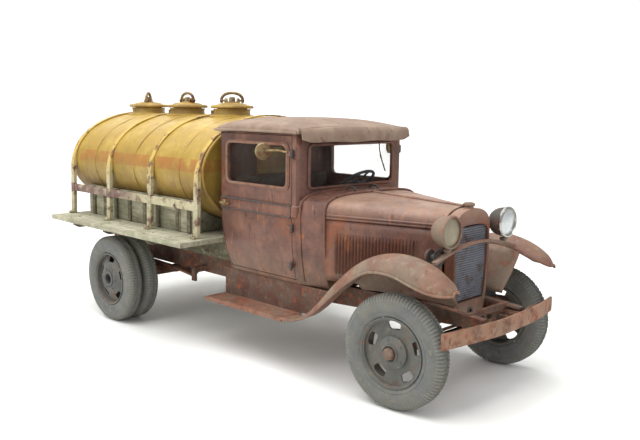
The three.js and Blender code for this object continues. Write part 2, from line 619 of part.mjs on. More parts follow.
// The roof's crown height and half width along its length.
const ROOF_CROWN = [[81, 121.4], [82, 122.6], [84, 123.8], [90, 125.2], [104, 126.3], [122, 125.8],
  [136, 124.2], [146, 122.4]];
const ROOF_HALF_W = [[81, 41.6], [82, 42.4], [84, 43], [146, 43]];
function roofBlock(stations, inset, foot) {
  return loft(stations.map((s) => {
    const w = table(ROOF_HALF_W, s) - inset;
    const crown = table(ROOF_CROWN, s) - Math.min(inset, 1.3);
    const side = 120.6 - Math.min(inset, 1);
    const arch = Array.from({ length: 13 }, (_, i) => {
      const t = (i / 12) * Math.PI;
      const c = Math.cos(t);
      return [w * Math.sign(c) * Math.abs(c) ** 0.72, side + (crown - side) * Math.sin(t) ** 0.72];
    });
    return [[w, foot], ...arch, [-w, foot]].map(([x, z]) => at(x, s, z));
  }));
}
function cabRoof() {
  const outer = roofBlock([81, 82, 84, 90, 104, 122, 136, 146], 0, CAB.top + GAP);
  const hollow = roofBlock([85, 90, 104, 122, 136, 141.4], 3.4, CAB.top - 1);
  return cut(outer, hollow);
}
add('cab_roof', cabRoof(), 'dust');

function sunVisor() {
  const face = [[147.2, 121.9], [149.2, 121.3], [150.5, 119.6], [151.1, 117.2], [151.2, 115]];
  const back = face.map(([s, z], i) => [s - 0.5 - i * 0.12, z - 1.0 + i * 0.2]);
  return extrudeAcross([...face, ...back.reverse()], -42.4, 42.4);
}
add('sun_visor', sunVisor(), 'dust');

// ---------------------------------------------------------------- cab fittings
add('seat_cushion', extrudeAcross(roundedRect(91, 117, 58, 67.5, 3), -35, 35), 'seat');
add('seat_back', extrudeAcross(
  [[85.6, 68.2], [91.6, 68.2], [90.4, 84], [89, 92.5], [87, 93.5], [85.6, 92.6]], -35.5, 35.5), 'seat');

const WHEEL_CENTRE = at(17, 130, 91);
const COLUMN_FOOT = at(17, 151, 61.2);
function steeringColumn() {
  const along = new THREE.Vector3().subVectors(WHEEL_CENTRE, COLUMN_FOOT).normalize();
  return bar(COLUMN_FOOT, WHEEL_CENTRE.clone().addScaledVector(along, -2.4), 1, 12);
}
add('steering_column', steeringColumn(), 'dark');

function steeringWheel() {
  const along = new THREE.Vector3().subVectors(WHEEL_CENTRE, COLUMN_FOOT).normalize();
  const turn = new THREE.Quaternion().setFromUnitVectors(new THREE.Vector3(0, 0, 1), along);
  const ringR = 11;
  const rim = new THREE.TorusGeometry(ringR, 0.85, 6, 18).applyQuaternion(turn);
  rim.translate(...WHEEL_CENTRE.toArray());
  const spokes = [45, 135, 225, 315].map((deg) => {
    const angle = THREE.MathUtils.degToRad(deg);
    const tip = new THREE.Vector3(ringR * Math.cos(angle), ringR * Math.sin(angle), 0);
    return bar(WHEEL_CENTRE, tip.applyQuaternion(turn).add(WHEEL_CENTRE), 0.55, 6);
  });
  const onShaft = (u) => WHEEL_CENTRE.clone().addScaledVector(along, u);
  const hub = bar(onShaft(-2), onShaft(1), 1.9, 12);
  return join(solid(rim), ...spokes, hub);
}
add('steering_wheel', steeringWheel(), 'dark');

// ---------------------------------------------------------------- hood and engine
const hoodShare = (s) => (s - HOOD.rear) / (HOOD.front - HOOD.rear);
const hoodW = (s) => lerp(HOOD.rearW, HOOD.frontW, hoodShare(s));
const hoodSplit = (s) => HOOD.split - 0.8 * hoodShare(s);
const hoodCrown = (s) => lerp(HOOD.crownRear, HOOD.crownFront, hoodShare(s));
const PANEL_T = 0.8;

function hoodTop(side) {
  const steps = 8;
  const rings = [HOOD.rear, 185, HOOD.front].map((s) => {
    const power = lerp(4, 2.3, hoodShare(s));
    const line = (inset) => Array.from({ length: steps + 1 }, (_, i) => {
      const first = Math.acos((1.3 / (hoodW(s) - inset)) ** (power / 2));
      const t = lerp(0, first, i / steps);
      return [side * (hoodW(s) - inset) * Math.cos(t) ** (2 / power),
        hoodSplit(s) + (hoodCrown(s) - inset - hoodSplit(s)) * Math.sin(t) ** (2 / power)];
    });
    return [...line(0), ...line(PANEL_T).reverse()].map(([x, z]) => at(x, s, z));
  });
  return loft(rings);
}

function hoodSide(side) {
  const rings = [HOOD.rear, HOOD.front].map((s) => {
    const w = hoodW(s);
    const top = hoodSplit(s) - GAP;
    return [[w, top], [w, HOOD_SIDE_BOTTOM], [w - PANEL_T, HOOD_SIDE_BOTTOM], [w - PANEL_T, top]]
      .map(([x, z]) => at(side * x, s, z));
  });
  return loft(rings);
}
for (const [name, side] of sides) {
  add(`hood_top_${name}`, hoodTop(side), 'rust');
  add(`hood_side_${name}`, hoodSide(side), 'rust');
}

function engine() {
  const crankcase = block(-8.5, 8.5, 171, 203, 43.6, 60);
  const head = block(-7, 7, 172, 202, 59.5, 64);
  const pan = block(-9.5, 9.5, 173, 200, 34, 43.8);
  const gearbox = block(-6, 6, 153, 171.5, 35.4, 38.2);
  const bell = block(-8, 8, 164, 174, 35.4, 42);
  const hub = bar(at(0, 202, 60), at(0, 209, 60), 2, 12);
  const blades = [45, 135].map((deg) => {
    const blade = new THREE.BoxGeometry(18, 0.9, 3.6).rotateY(THREE.MathUtils.degToRad(deg));
    return solid(blade.translate(0, Y(207.5), 60));
  });
  const manifold = bar(at(8, 176, 54), at(8, 200, 54), 2, 10);
  const plugs = [177, 184, 191, 198].map((s) => bar(at(0, s, 63), at(0, s, 66.5), 1, 8));
  return join(crankcase, head, pan, gearbox, bell, hub, ...blades, manifold, ...plugs);
}
add('engine', engine(), 'dark');

// ---------------------------------------------------------------- radiator
function shellOutline(inset) {
  const { halfW, bottom, shoulder, apex } = RADIATOR;
  const steps = 12;
  const w = halfW - inset;
  const arch = Array.from({ length: steps + 1 }, (_, i) => {
    const t = (i / steps) * Math.PI;
    const [c, rise] = [Math.cos(t), apex - inset - shoulder];
    return [w * Math.sign(c) * Math.abs(c) ** 0.85, shoulder + rise * Math.sin(t) ** 0.85];
  });
  const foot = bottom + inset;
  return [[8, foot], [12.4 - inset, foot + 7], [13.8 - inset, foot + 14], ...arch, [-13.8 + inset, foot + 14],
    [-12.4 + inset, foot + 7], [-8, foot]];
}
function radiatorShell() {
  const body = extrudeAlong(shellOutline(0), RADIATOR.back, RADIATOR.front);
  const outline = [[11.6, 43], [12.9, 52], [12.9, 77.4], [8, 78.6], [0, 79], [-8, 78.6], [-12.9, 77.4],
    [-12.9, 52], [-11.6, 43]];
  const grille = extrudeAlong(outline, RADIATOR.back - 1, RADIATOR.front + 1);
  const crankHole = bar(at(0, RADIATOR.front - 1.4, 37.6), at(0, RADIATOR.front + 1, 37.6), 1.3, 12);
  const neck = bar(at(0, 215.6, 85), at(0, 215.6, 86.9), 2, 16);
  return join(cut(body, grille, crankHole), neck);
}
add('radiator_shell', radiatorShell(), 'rust');
const CORE_OUTLINE = [[11.2, 43.4], [12.5, 52], [12.5, 77], [0, 78.5], [-12.5, 77], [-12.5, 52], [-11.2, 43.4]];
add('radiator_core', extrudeAlong(CORE_OUTLINE, 214, 217.6), 'core');
add('radiator_cap', turned([[0, 89.2], [1.4, 89.1], [3, 88.6], [3.2, 87.8], [2.9, 87.25], [0, 87.25]], 20)
  .translate([0, Y(215.6), 0]), 'dust');

// ---------------------------------------------------------------- front fenders and running boards
// Crown and lip heights along the fender, and where its inner edge runs.
const FENDER_CROWN = [[142, 27.9], [147, 28.4], [152, 29.9], [158, 33.6], [166, 41.6], [175, 51.6], [185, 60.6],
  [196, 66.6], [208, 69.2], [220, 68], [228, 65.4], [234, 61.6], [238, 57.4]];
const FENDER_LIP = [[142, 27.9], [150, 28.8], [156, 30.8], [163, 34.2], [176, 45.4], [187, 54.4],
  [196, 59.6], [203, 61.4], [212, 61], [220, 58.4], [228, 56], [238, 55.6]];
const FENDER_OUTER = [[142, 49.8], [160, 50.4], [205, 50.6], [224, 50.2], [231, 48.8], [235, 47], [238, 44]];
const FENDER_INNER = [[142, 37.7], [160, 37.7], [170, 36.4], [182, 34], [205, 33.4], [224, 33.4],
  [231, 34.6], [235, 36], [238, 38.4]];
const VALANCE = { from: 178, to: 224, foot: 44.2, footX: 18.4 };

function fender(side) {
  const thick = 0.9;
  const stations = [142, 147, 152, 158, 165, 172, 177, 178, 186, 194, 202, 210, 217, 224, 225, 231, 235, 238];
  const rings = stations.map((s) => {
    const [crown, lip] = [table(FENDER_CROWN, s), table(FENDER_LIP, s)];
    const [outer, inner] = [table(FENDER_OUTER, s), table(FENDER_INNER, s)];
    const peak = lerp(outer, inner, 0.55);
    const fall = Math.min(1, Math.max(0, (s - 158) / 30)) * 4.6 * Math.min(1, (239 - s) / 8);
    const outside = [];
    for (let i = 0; i <= 4; i++) {
      const t = (i / 4) * (Math.PI / 2);
      outside.push([lerp(peak, outer, Math.cos(t)), lerp(lip, crown, Math.sin(t))]);
    }
    for (let i = 1; i <= 2; i++) {
      const t = i / 2;
      outside.push([lerp(peak, inner, t), crown - fall * t * t]);
    }
    // The inner panel runs from the crown down past the hood's side to the frame.
    const reach = s < VALANCE.from || s > VALANCE.to ? 0 : 1;
    const edge = [inner, crown - fall];
    const beside = [Math.max(hoodW(Math.min(s, HOOD.front)) + 1.3, 19), 46.4];
    const under = [VALANCE.footX, VALANCE.foot];
    const step = (target, share) => [lerp(edge[0], target[0], share), lerp(edge[1], target[1], share)];
    outside.push(step(beside, Math.max(reach, 0.03)), step(under, Math.max(reach, 0.06)));
    const inside = outside.map(([x, z], i) => {
      const [a, b] = [outside[Math.max(i - 1, 0)], outside[Math.min(i + 1, outside.length - 1)]];
      const length = Math.hypot(b[0] - a[0], b[1] - a[1]) || 1;
      const slope = 1 + 0.5 * Math.min(1, Math.max(0, (184 - s) / 20));
      const inward = Math.sign(x - peak + 0.001) * (i === 5 || i === 6 ? -1 : 1);
      return [x - inward * thick * Math.abs(b[1] - a[1]) / length,
        z - thick * slope * Math.max(0.35, Math.abs(b[0] - a[0]) / length)];
    });
    return [...outside, ...inside.reverse()].map(([x, z]) => at(side * x, s, z));
  });
  return loft(rings);
}

function runningBoard(side) {
  const edge = block(side * 49.2, side * 50, 80.4, 141.6, 26.2, 28);
  const board = block(side * 35.6, side * 49.8, 80.4, 141.6, 27, 28);
  const apron = block(side * 35.2, side * 36, 81, 141.6, 27, 42.6);
  const front = extrudeAcross([[141, 27], [150, 28], [160, 34], [164, 40], [164, 42.6], [141, 42.6]],
    side * 35.2, side * 36);
  return join(edge, board, apron, front);
}
for (const [name, side] of sides) {
  add(`front_fender_${name}`, fender(side), 'dust');
  add(`running_board_${name}`, runningBoard(side), 'rust');
}

// ---------------------------------------------------------------- bumper, lamps and horn
function bumper() {
  const { front, halfW, bow, bottom, top, t } = BUMPER;
  const steps = 14;
  const line = (offset) => Array.from({ length: steps + 1 }, (_, i) => {
    const x = lerp(-halfW, halfW, i / steps);
    return [x, front - offset - bow * (x / halfW) ** 2];
  });
  const plan = [...line(0), ...line(t).reverse()];
  const face = loft([bottom, top].map((z) => plan.map(([x, s]) => at(x, s, z))), inXY);
  const brackets = sides.map(([, side]) => block(side * 13.8, side * 17.6, 236.8, 240.4, 35, 38.4));
  const bolts = sides.map(([, side]) => bar(at(side * 15.6, 238, 36.6), at(side * 15.6, 241.4, 36.6), 1.3, 8));
  return join(face, ...brackets, ...bolts);
}
add('front_bumper', bumper(), 'rust');

const lampBarZ = (x) => 70.6 - 6.2 * (x / 34) ** 2;
function headlampBar() {
  const steps = 14;
  const line = (offset) => Array.from({ length: steps + 1 }, (_, i) => {
    const x = lerp(-33, 33, i / steps);
    return [x, lampBarZ(x) + offset];
  });
  const strip = extrudeAlong([...line(0), ...line(1.2).reverse()], 219.4, 222);
  const posts = sides.map(([, side]) => {
    const post = (z) => at(side * LAMP.x, 220.6, z);
    return bar(post(lampBarZ(LAMP.x) + 0.4), post(LAMP.z - LAMP.r - 0.4), 1.3, 10);
  });
  return join(strip, ...posts);
}
add('headlamp_bar', headlampBar(), 'dust');

const forwards = new THREE.Vector3(0, -1, 0);
function headlampBucket(side) {
  const { r, face, back } = LAMP;
  const depth = face - back;
  const profile = [[0, 0], [3, 0.5], [5.6, 2.6], [6.9, 6], [7.1, depth - 1.6], [r, depth - 1.2], [r, depth],
    [6.7, depth], [6.6, depth - 2.6], [4.6, depth - 4.8], [0, depth - 5.4]];
  return turned(profile, 18, forwards).translate(at(side * LAMP.x, back, LAMP.z).toArray());
}
function headlampLens(side) {
  const depth = LAMP.face - LAMP.back;
  const profile = [[0, depth - 0.2], [3.5, depth - 0.5], [6.3, depth - 1.1], [6.3, depth - 1.7], [0, depth - 1.1]];
  return turned(profile, 18, forwards).translate(at(side * LAMP.x, LAMP.back, LAMP.z).toArray());
}
for (const [name, side] of sides) {
  add(`headlamp_bucket_${name}`, headlampBucket(side), side > 0 ? 'dark' : 'dust');
  add(`headlamp_lens_${name}`, headlampLens(side), 'glass');
}

function horn() {
  const profile = [[0, 0], [3.4, 0], [3.4, 1.8], [1.3, 2.3], [1.5, 3.4], [4.1, 5.6], [3.6, 5.7], [0.8, 4],
    [0, 3.9]];
  const body = turned(profile, 16, forwards).translate(at(-27.4, 213.2, 66.9).toArray());
  const stay = bar(at(-27.4, 214, 68), at(-27.4, 214, 70), 0.7, 8);
  return join(body, stay);
}
add('horn', horn(), 'dark');

export default truck;
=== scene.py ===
import random
from math import acos, copysign, cos, pi, radians, sin
from math import tau as TAU

import bmesh
import bpy
from mathutils import Matrix, Vector, noise


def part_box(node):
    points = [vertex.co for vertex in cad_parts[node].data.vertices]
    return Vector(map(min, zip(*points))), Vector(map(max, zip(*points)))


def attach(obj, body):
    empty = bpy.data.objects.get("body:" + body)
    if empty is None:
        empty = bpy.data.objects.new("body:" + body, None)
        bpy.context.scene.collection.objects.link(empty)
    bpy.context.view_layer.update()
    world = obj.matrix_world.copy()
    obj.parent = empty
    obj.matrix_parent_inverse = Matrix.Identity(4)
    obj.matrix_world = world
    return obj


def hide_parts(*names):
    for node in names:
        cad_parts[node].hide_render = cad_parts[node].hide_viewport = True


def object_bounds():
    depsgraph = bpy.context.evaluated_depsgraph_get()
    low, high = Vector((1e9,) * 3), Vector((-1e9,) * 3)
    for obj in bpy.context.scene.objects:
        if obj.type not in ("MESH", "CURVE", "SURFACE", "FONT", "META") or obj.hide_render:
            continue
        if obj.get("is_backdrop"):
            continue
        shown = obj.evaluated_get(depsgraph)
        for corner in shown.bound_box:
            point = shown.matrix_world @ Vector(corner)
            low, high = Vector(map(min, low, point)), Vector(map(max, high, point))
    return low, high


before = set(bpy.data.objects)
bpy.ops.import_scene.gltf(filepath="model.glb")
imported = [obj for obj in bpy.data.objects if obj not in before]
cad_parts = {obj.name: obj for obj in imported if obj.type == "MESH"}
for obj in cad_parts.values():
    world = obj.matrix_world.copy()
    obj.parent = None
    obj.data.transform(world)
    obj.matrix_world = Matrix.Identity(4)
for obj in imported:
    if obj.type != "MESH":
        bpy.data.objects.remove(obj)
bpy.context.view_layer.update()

random.seed(5)
MM = 0.001
SIDES = (("left", 1), ("right", -1))
UP = Vector((0, 0, 1))
FORWARD = Vector((0, -1, 0))


# ---- places, all in millimetres
def node_box(name):
    low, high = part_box(name)
    return low / MM, high / MM


rear_low, rear_high = node_box("rear_rim_left")
AXLE_Y = (rear_low.y + rear_high.y) / 2


def P(x, s, z):
    """A point x to the left, s ahead of the rear axle and z up."""
    return Vector((x, AXLE_Y - s, z))


def lerp(a, b, t):
    return a + (b - a) * t


def table(rows, where):
    """Smooth reading of [where, value] rows."""
    if where <= rows[0][0]:
        return rows[0][1]
    for i in range(1, len(rows)):
        if where <= rows[i][0]:
            (u1, v1), (u2, v2) = rows[i - 1], rows[i]
            u0, v0 = rows[i - 2] if i > 1 else (2 * u1 - u2, v1)
            u3, v3 = rows[i + 1] if i + 1 < len(rows) else (2 * u2 - u1, v2)
            t = (where - u1) / (u2 - u1)
            m1 = (v2 - v0) / (u2 - u0) * (u2 - u1)
            m2 = (v3 - v1) / (u3 - u1) * (u2 - u1)
            a, b = 2 * t**3 - 3 * t * t + 1, t**3 - 2 * t * t + t
            c, d = -2 * t**3 + 3 * t * t, t**3 - t * t
            return a * v1 + b * m1 + c * v2 + d * m2
    return rows[-1][1]


def spread(a, b, count):
    return [lerp(a, b, i / (count - 1)) for i in range(count)]


# ---- materials
def linear(colour):
    """An sRGB triple of 0 to 255 as the linear colour that a node takes."""
    return tuple(c / 255 / 12.92 if c < 11 else ((c / 255 + 0.055) / 1.055) ** 2.4 for c in colour) + (1,)


class Paint:
    """Builds one procedural material from layers of noise in the part's own coordinates."""

    def __init__(self, name, base, rough=0.7, metal=0, bump=0.25, bump_scale=900, seed=0):
        self.material = bpy.data.materials.new(name)
        self.material.use_nodes = True
        self.tree = self.material.node_tree
        self.shader = self.tree.nodes["Principled BSDF"]
        self.shader.inputs["Metallic"].default_value = metal
        self.place = self.node("TexCoord").outputs["Object"]
        shift = (seed, seed * 0.7, seed * 1.3)
        self.here = self.node("VectorMath", {0: self.place, 1: shift}, operation="ADD").outputs[0]
        grain = self.noise(bump_scale / 4, detail=6)
        dark, light = (tuple(min(1, c * k) for c in linear(base)[:3]) + (1,) for k in (0.86, 1.12))
        self.colour = self.mix(dark, light, self.map(grain, 0.35, 0.65))
        self.rough = self.map(self.noise(150, detail=4), 0.3, 0.7, rough - 0.12, rough + 0.1)
        self.height = self.noise(bump_scale, detail=5)
        self.bump = bump

    def put(self, socket, value):
        """Sets a socket to a plain value, or links another node's output to it."""
        if isinstance(value, (int, float, tuple)):
            socket.default_value = value
        else:
            self.tree.links.new(value, socket)

    def node(self, kind, inputs=(), **settings):
        """Adds a shader node. inputs is a dict of sockets and what goes in them."""
        node = self.tree.nodes.new("ShaderNode" + kind)
        for key, value in settings.items():
            setattr(node, key, value)
        for key, value in dict(inputs).items():
            self.put(node.inputs[key], value)
        return node

    def noise(self, scale, detail=5, stretch=None, rough=0.6):
        where = self.here
        if stretch:
            where = self.node("VectorMath", {0: where, 1: stretch}, operation="MULTIPLY").outputs[0]
        inputs = {"Scale": scale, "Detail": detail, "Roughness": rough, "Vector": where}
        return self.node("TexNoise", inputs).outputs["Fac"]

    def map(self, value, a, b, low=0, high=1):
        """Takes a to low and b to high, and holds the value beyond them."""
        inputs = {"From Min": a, "From Max": b, "To Min": low, "To Max": high, "Value": value}
        return self.node("MapRange", inputs).outputs["Result"]

    def times(self, a, b):
        return self.node("Math", {0: a, 1: b}, operation="MULTIPLY").outputs[0]

    def axis(self, letter):
        return self.node("SeparateXYZ", {0: self.place}).outputs[letter]

    def between(self, letter, low, high, soft):
        """1 where the coordinate, in millimetres, lies between low and high."""
        value = self.axis(letter)
        up = self.map(value, (low - soft) * MM, (low + soft) * MM)
        down = self.map(value, (high - soft) * MM, (high + soft) * MM, 1, 0)
        return self.times(up, down)

    def mix(self, a, b, fac):
        a, b = (linear(c) if isinstance(c, tuple) and len(c) == 3 else c for c in (a, b))
        return self.node("Mix", {6: a, 7: b, 0: fac}, data_type="RGBA").outputs[2]

    def layer(self, colour, scale, level, soft=0.06, amount=1, stretch=None, where=None, rough=None, raised=0):
        """Lays colour over what's there, wherever a noise passes level."""
        mask = self.map(self.noise(scale, detail=7, stretch=stretch, rough=0.65), level - soft, level + soft)
        if where is not None:
            mask = self.times(mask, where)
        mask = self.times(mask, amount)
        self.colour = self.mix(self.colour, colour, mask)
        if rough is not None:
            self.rough = self.node("Mix", {0: mask, 2: self.rough, 3: rough}).outputs[0]
        if raised:
            inputs = {0: mask, 1: raised, 2: self.height}
            self.height = self.node("Math", inputs, operation="MULTIPLY_ADD").outputs[0]

    def done(self):
        bump = self.node("Bump", {"Strength": self.bump, "Distance": BUMP_DEPTH, "Height": self.height})
        self.put(self.shader.inputs["Normal"], bump.outputs[0])
        self.put(self.shader.inputs["Base Color"], self.colour)
        self.put(self.shader.inputs["Roughness"], self.rough)
        return self.material


BUMP_DEPTH = 0.0003
ORANGE_RUST = (150, 76, 40)
DEEP_RUST = (92, 48, 36)
DARK_RUST = (58, 36, 30)
DUST = (150, 134, 108)
GREY_DUST = (128, 122, 106)


def body_paint(name, seed, rust_and_lit_top=0):
    p = Paint(name, (112, 74, 61), rough=0.5, metal=0.1, bump=0.35, seed=seed)
    p.layer((84, 56, 48), 38, 0.5, 0.1, 0.85)
    p.layer((136, 96, 78), 75, 0.57, 0.08, 0.7)
    p.layer((98, 68, 60), 160, 0.55, 0.07, 0.6, stretch=(1, 1, 0.5))
    p.layer((146, 84, 52), 52, 0.63 - rust_and_lit_top, 0.08, 0.55, rough=0.85, raised=0.3)
    p.layer((158, 98, 58), 230, 0.64, 0.05, 0.75, stretch=(1, 1, 0.3))
    p.layer(DARK_RUST, 330, 0.63, 0.05, 0.8, stretch=(1, 1, 0.25))
    p.layer((150, 116, 88), 620, 0.66, 0.05, 0.5)
    p.layer(DUST, 500, 0.68, 0.05, 0.4)
    p.layer(DUST, 60, 0.45, 0.2, 0.45, where=p.map(p.axis("Z"), 0.062, 0.04))
    # On the hood's paint, the tops above 78 mm get a pale, dust-coloured layer: a painted highlight from the light
    # overhead.
    if rust_and_lit_top:
        p.layer((168, 138, 116), 60, 0.44, 0.16, 0.6, where=p.map(p.axis("Z"), 0.078, 0.086))
    return p.done()


cab_paint = body_paint("cab_paint", 1.3)
# The hood's paint gets more rust, and a painted highlight on its top.
hood_paint = body_paint("hood_paint", 4.1, 0.04)


def make_fender_paint():
    p = Paint("fender_paint", (130, 94, 76), rough=0.62, bump=0.4, seed=7.7)
    p.layer((108, 72, 58), 60, 0.5, 0.1, 0.8)
    p.layer(GREY_DUST, 55, 0.52, 0.1, 0.65, rough=0.95)
    p.layer((142, 84, 54), 110, 0.64, 0.05, 0.7)
    p.layer((140, 130, 106), 320, 0.6, 0.06, 0.5)
    p.layer(DARK_RUST, 300, 0.68, 0.04, 0.6)
    return p.done()


def make_roof_paint():
    p = Paint("roof_paint", (136, 114, 98), rough=0.75, bump=0.5, bump_scale=1600, seed=2.2)
    p.layer((116, 92, 78), 50, 0.5, 0.12, 0.8)
    p.layer((160, 140, 120), 70, 0.56, 0.1, 0.6)
    p.layer(DEEP_RUST, 150, 0.66, 0.05, 0.7)
    p.layer((166, 146, 118), 420, 0.66, 0.05, 0.4)
    return p.done()


def make_tank_paint():
    p = Paint("tank_paint", (176, 146, 60), rough=0.38, bump=0.18, seed=3.4)
    p.layer((164, 130, 50), 30, 0.48, 0.12, 0.75)
    p.layer((214, 188, 104), 42, 0.6, 0.08, 0.5)
    # A plain worn stripe along each side.
    stripe = p.times(p.between("Z", 95.5, 102.5, 0.25), p.between("Y", 8, 142, 0.5))
    flank = p.map(p.noise(160, detail=8, rough=0.7), 0.62, 0.5)
    p.colour = p.mix(p.colour, (170, 78, 42), p.times(p.times(stripe, flank), 0.62))
    # A darker copy of the tank's yellow, mottled, below its top: painted shade on the sides, and rougher there.
    p.layer((128, 104, 44), 26, 0.44, 0.2, 0.75, where=p.map(p.axis("Z"), 0.122, 0.098), rough=0.6)
    low = p.map(p.axis("Z"), 0.1, 0.068)
    p.layer((116, 92, 46), 50, 0.46, 0.12, 0.85, where=low, rough=0.8)
    p.layer((96, 62, 34), 120, 0.54, 0.08, 0.8, stretch=(1, 1, 0.35), where=low)
    p.layer((120, 78, 38), 220, 0.66, 0.05, 0.75, stretch=(1, 1, 0.22), rough=0.8)
    p.layer(DEEP_RUST, 300, 0.7, 0.03, 0.9, rough=0.9)
    p.layer((124, 96, 50), 110, 0.47, 0.12, 0.8, where=p.map(p.axis("Z"), 0.121, 0.129), rough=0.8)
    return p.done()


def make_hoop_paint():
    p = Paint("hoop_paint", (176, 168, 138), rough=0.8, bump=0.4, seed=6.1)
    p.colour = p.mix(p.colour, (190, 160, 84), p.map(p.axis("Z"), 0.084, 0.1))
    p.layer((108, 76, 62), 130, 0.56, 0.05, 0.85, rough=0.9, raised=-0.3)
    p.layer(DARK_RUST, 260, 0.62, 0.04, 0.8, raised=-0.4)
    rail = p.times(p.between("Z", 74, 80, 0.4), p.map(p.axis("Y"), 0.062, 0.09))
    p.layer((104, 74, 74), 90, 0.4, 0.08, 0.85, where=rail)
    return p.done()


def make_wood(name, base, dark, seed):
    along = (1, 0.07, 1)  # stretches the grain along the truck
    p = Paint(name, base, rough=0.92, bump=0.55, bump_scale=700, seed=seed)
    p.height = p.noise(900, detail=6, stretch=along)
    p.layer(dark, 420, 0.54, 0.1, 0.8, stretch=along)
    p.layer((120, 122, 98), 40, 0.52, 0.12, 0.6)
    p.layer((86, 72, 56), 700, 0.62, 0.05, 0.7, stretch=along)
    p.layer((196, 192, 166), 150, 0.6, 0.07, 0.5)
    p.layer((84, 62, 44), 90, 0.66, 0.05, 0.6)
    return p.done()


def make_plain(name, base, rough, metal=0, seed=0, bump=0.3, dusty=0.4, rusty=0):
    p = Paint(name, base, rough=rough, metal=metal, bump=bump, seed=seed)
    if rusty:
        p.layer(DEEP_RUST, 120, 0.62 - rusty * 0.15, 0.06, 0.85, rough=0.9, raised=0.3)
        p.layer(ORANGE_RUST, 240, 0.66 - rusty * 0.1, 0.04, 0.8)
    if dusty:
        p.layer(GREY_DUST, 80, 0.5, 0.14, dusty, rough=0.95)
        p.layer(DUST, 420, 0.62, 0.06, dusty)
    return p.done()


def make_glass():
    p = Paint("window_glass", (226, 232, 230), rough=0.06, bump=0.02, seed=9)
    grime = p.noise(90, detail=7, rough=0.7)
    p.rough = p.map(grime, 0.4, 0.75, 0.02, 0.3)
    p.colour = p.mix((92, 90, 86), (90, 78, 64), p.map(grime, 0.45, 0.8, 0, 0.7))
    material = p.done()
    clear = p.node("BsdfTransparent").outputs[0]
    film = p.map(grime, 0.45, 0.85, 0.05, 0.2)
    glass = p.node("MixShader", {0: film, 1: clear, 2: p.shader.outputs[0]})
    p.put(p.tree.nodes["Material Output"].inputs["Surface"], glass.outputs[0])
    return material


fender_paint = make_fender_paint()
roof_paint = make_roof_paint()
tank_paint = make_tank_paint()
hoop_paint = make_hoop_paint()
plank_wood = make_wood("plank_wood", (172, 168, 146), (124, 118, 98), 1.9)
timber_wood = make_wood("timber_wood", (94, 84, 66), (62, 50, 40), 5.9)
tyre_rubber = make_plain("tyre_rubber", (96, 99, 99), 0.9, seed=2.7, bump=0.5, dusty=0.4)
# The tread's rubber is lighter than the carcass: dust, and a painted highlight on the raised lugs.
tread_dust_and_highlight = make_plain("tread_dust_and_highlight", (116, 118, 114), 0.9, seed=1.7, bump=0.5, dusty=0.5)
rim_paint = make_plain("rim_paint", (84, 86, 85), 0.75, metal=0.1, seed=3.9, dusty=0.4, rusty=0.1)
chassis_paint = make_plain("chassis_paint", (84, 58, 48), 0.85, metal=0.1, seed=8.2, dusty=0.35, rusty=0.9)
bumper_paint = make_plain("bumper_paint", (150, 108, 84), 0.62, metal=0.15, seed=6.6, dusty=0.35, rusty=0.5)
board_paint = make_plain("board_paint", (132, 82, 62), 0.8, seed=1.1, dusty=0.5, rusty=0.45)
# The apron's paint is darker than the running boards: painted shade under the door.
apron_shaded_paint = make_plain("apron_shaded_paint", (86, 54, 44), 0.8, seed=1.4, dusty=0.3, rusty=0.45)
dark_paint = make_plain("dark_paint", (62, 56, 56), 0.7, seed=4.4, dusty=0.2, rusty=0.3)
core_paint = make_plain("core_paint", (130, 132, 144), 0.5, metal=0.3, seed=5.5, dusty=0.3, rusty=0.1)
worn_steel = make_plain("worn_steel", (150, 132, 92), 0.5, metal=0.7, seed=7.1, dusty=0.2, rusty=0.5)
chrome = make_plain("chrome", (190, 188, 182), 0.22, metal=1, seed=2, bump=0.08, dusty=0.12)
wheel_plastic = make_plain("wheel_plastic", (48, 54, 68), 0.45, seed=3, dusty=0.15)
seat_leather = make_plain("seat_leather", (66, 46, 36), 0.7, seed=9.9, dusty=0.25)
inside_paint = make_plain("inside_paint", (36, 28, 25), 0.9, seed=5.1, dusty=0.2)
hub_rust = make_plain("hub_rust", (118, 92, 78), 0.8, metal=0.2, seed=6.9, dusty=0.5, rusty=0.3)
window_glass = make_glass()


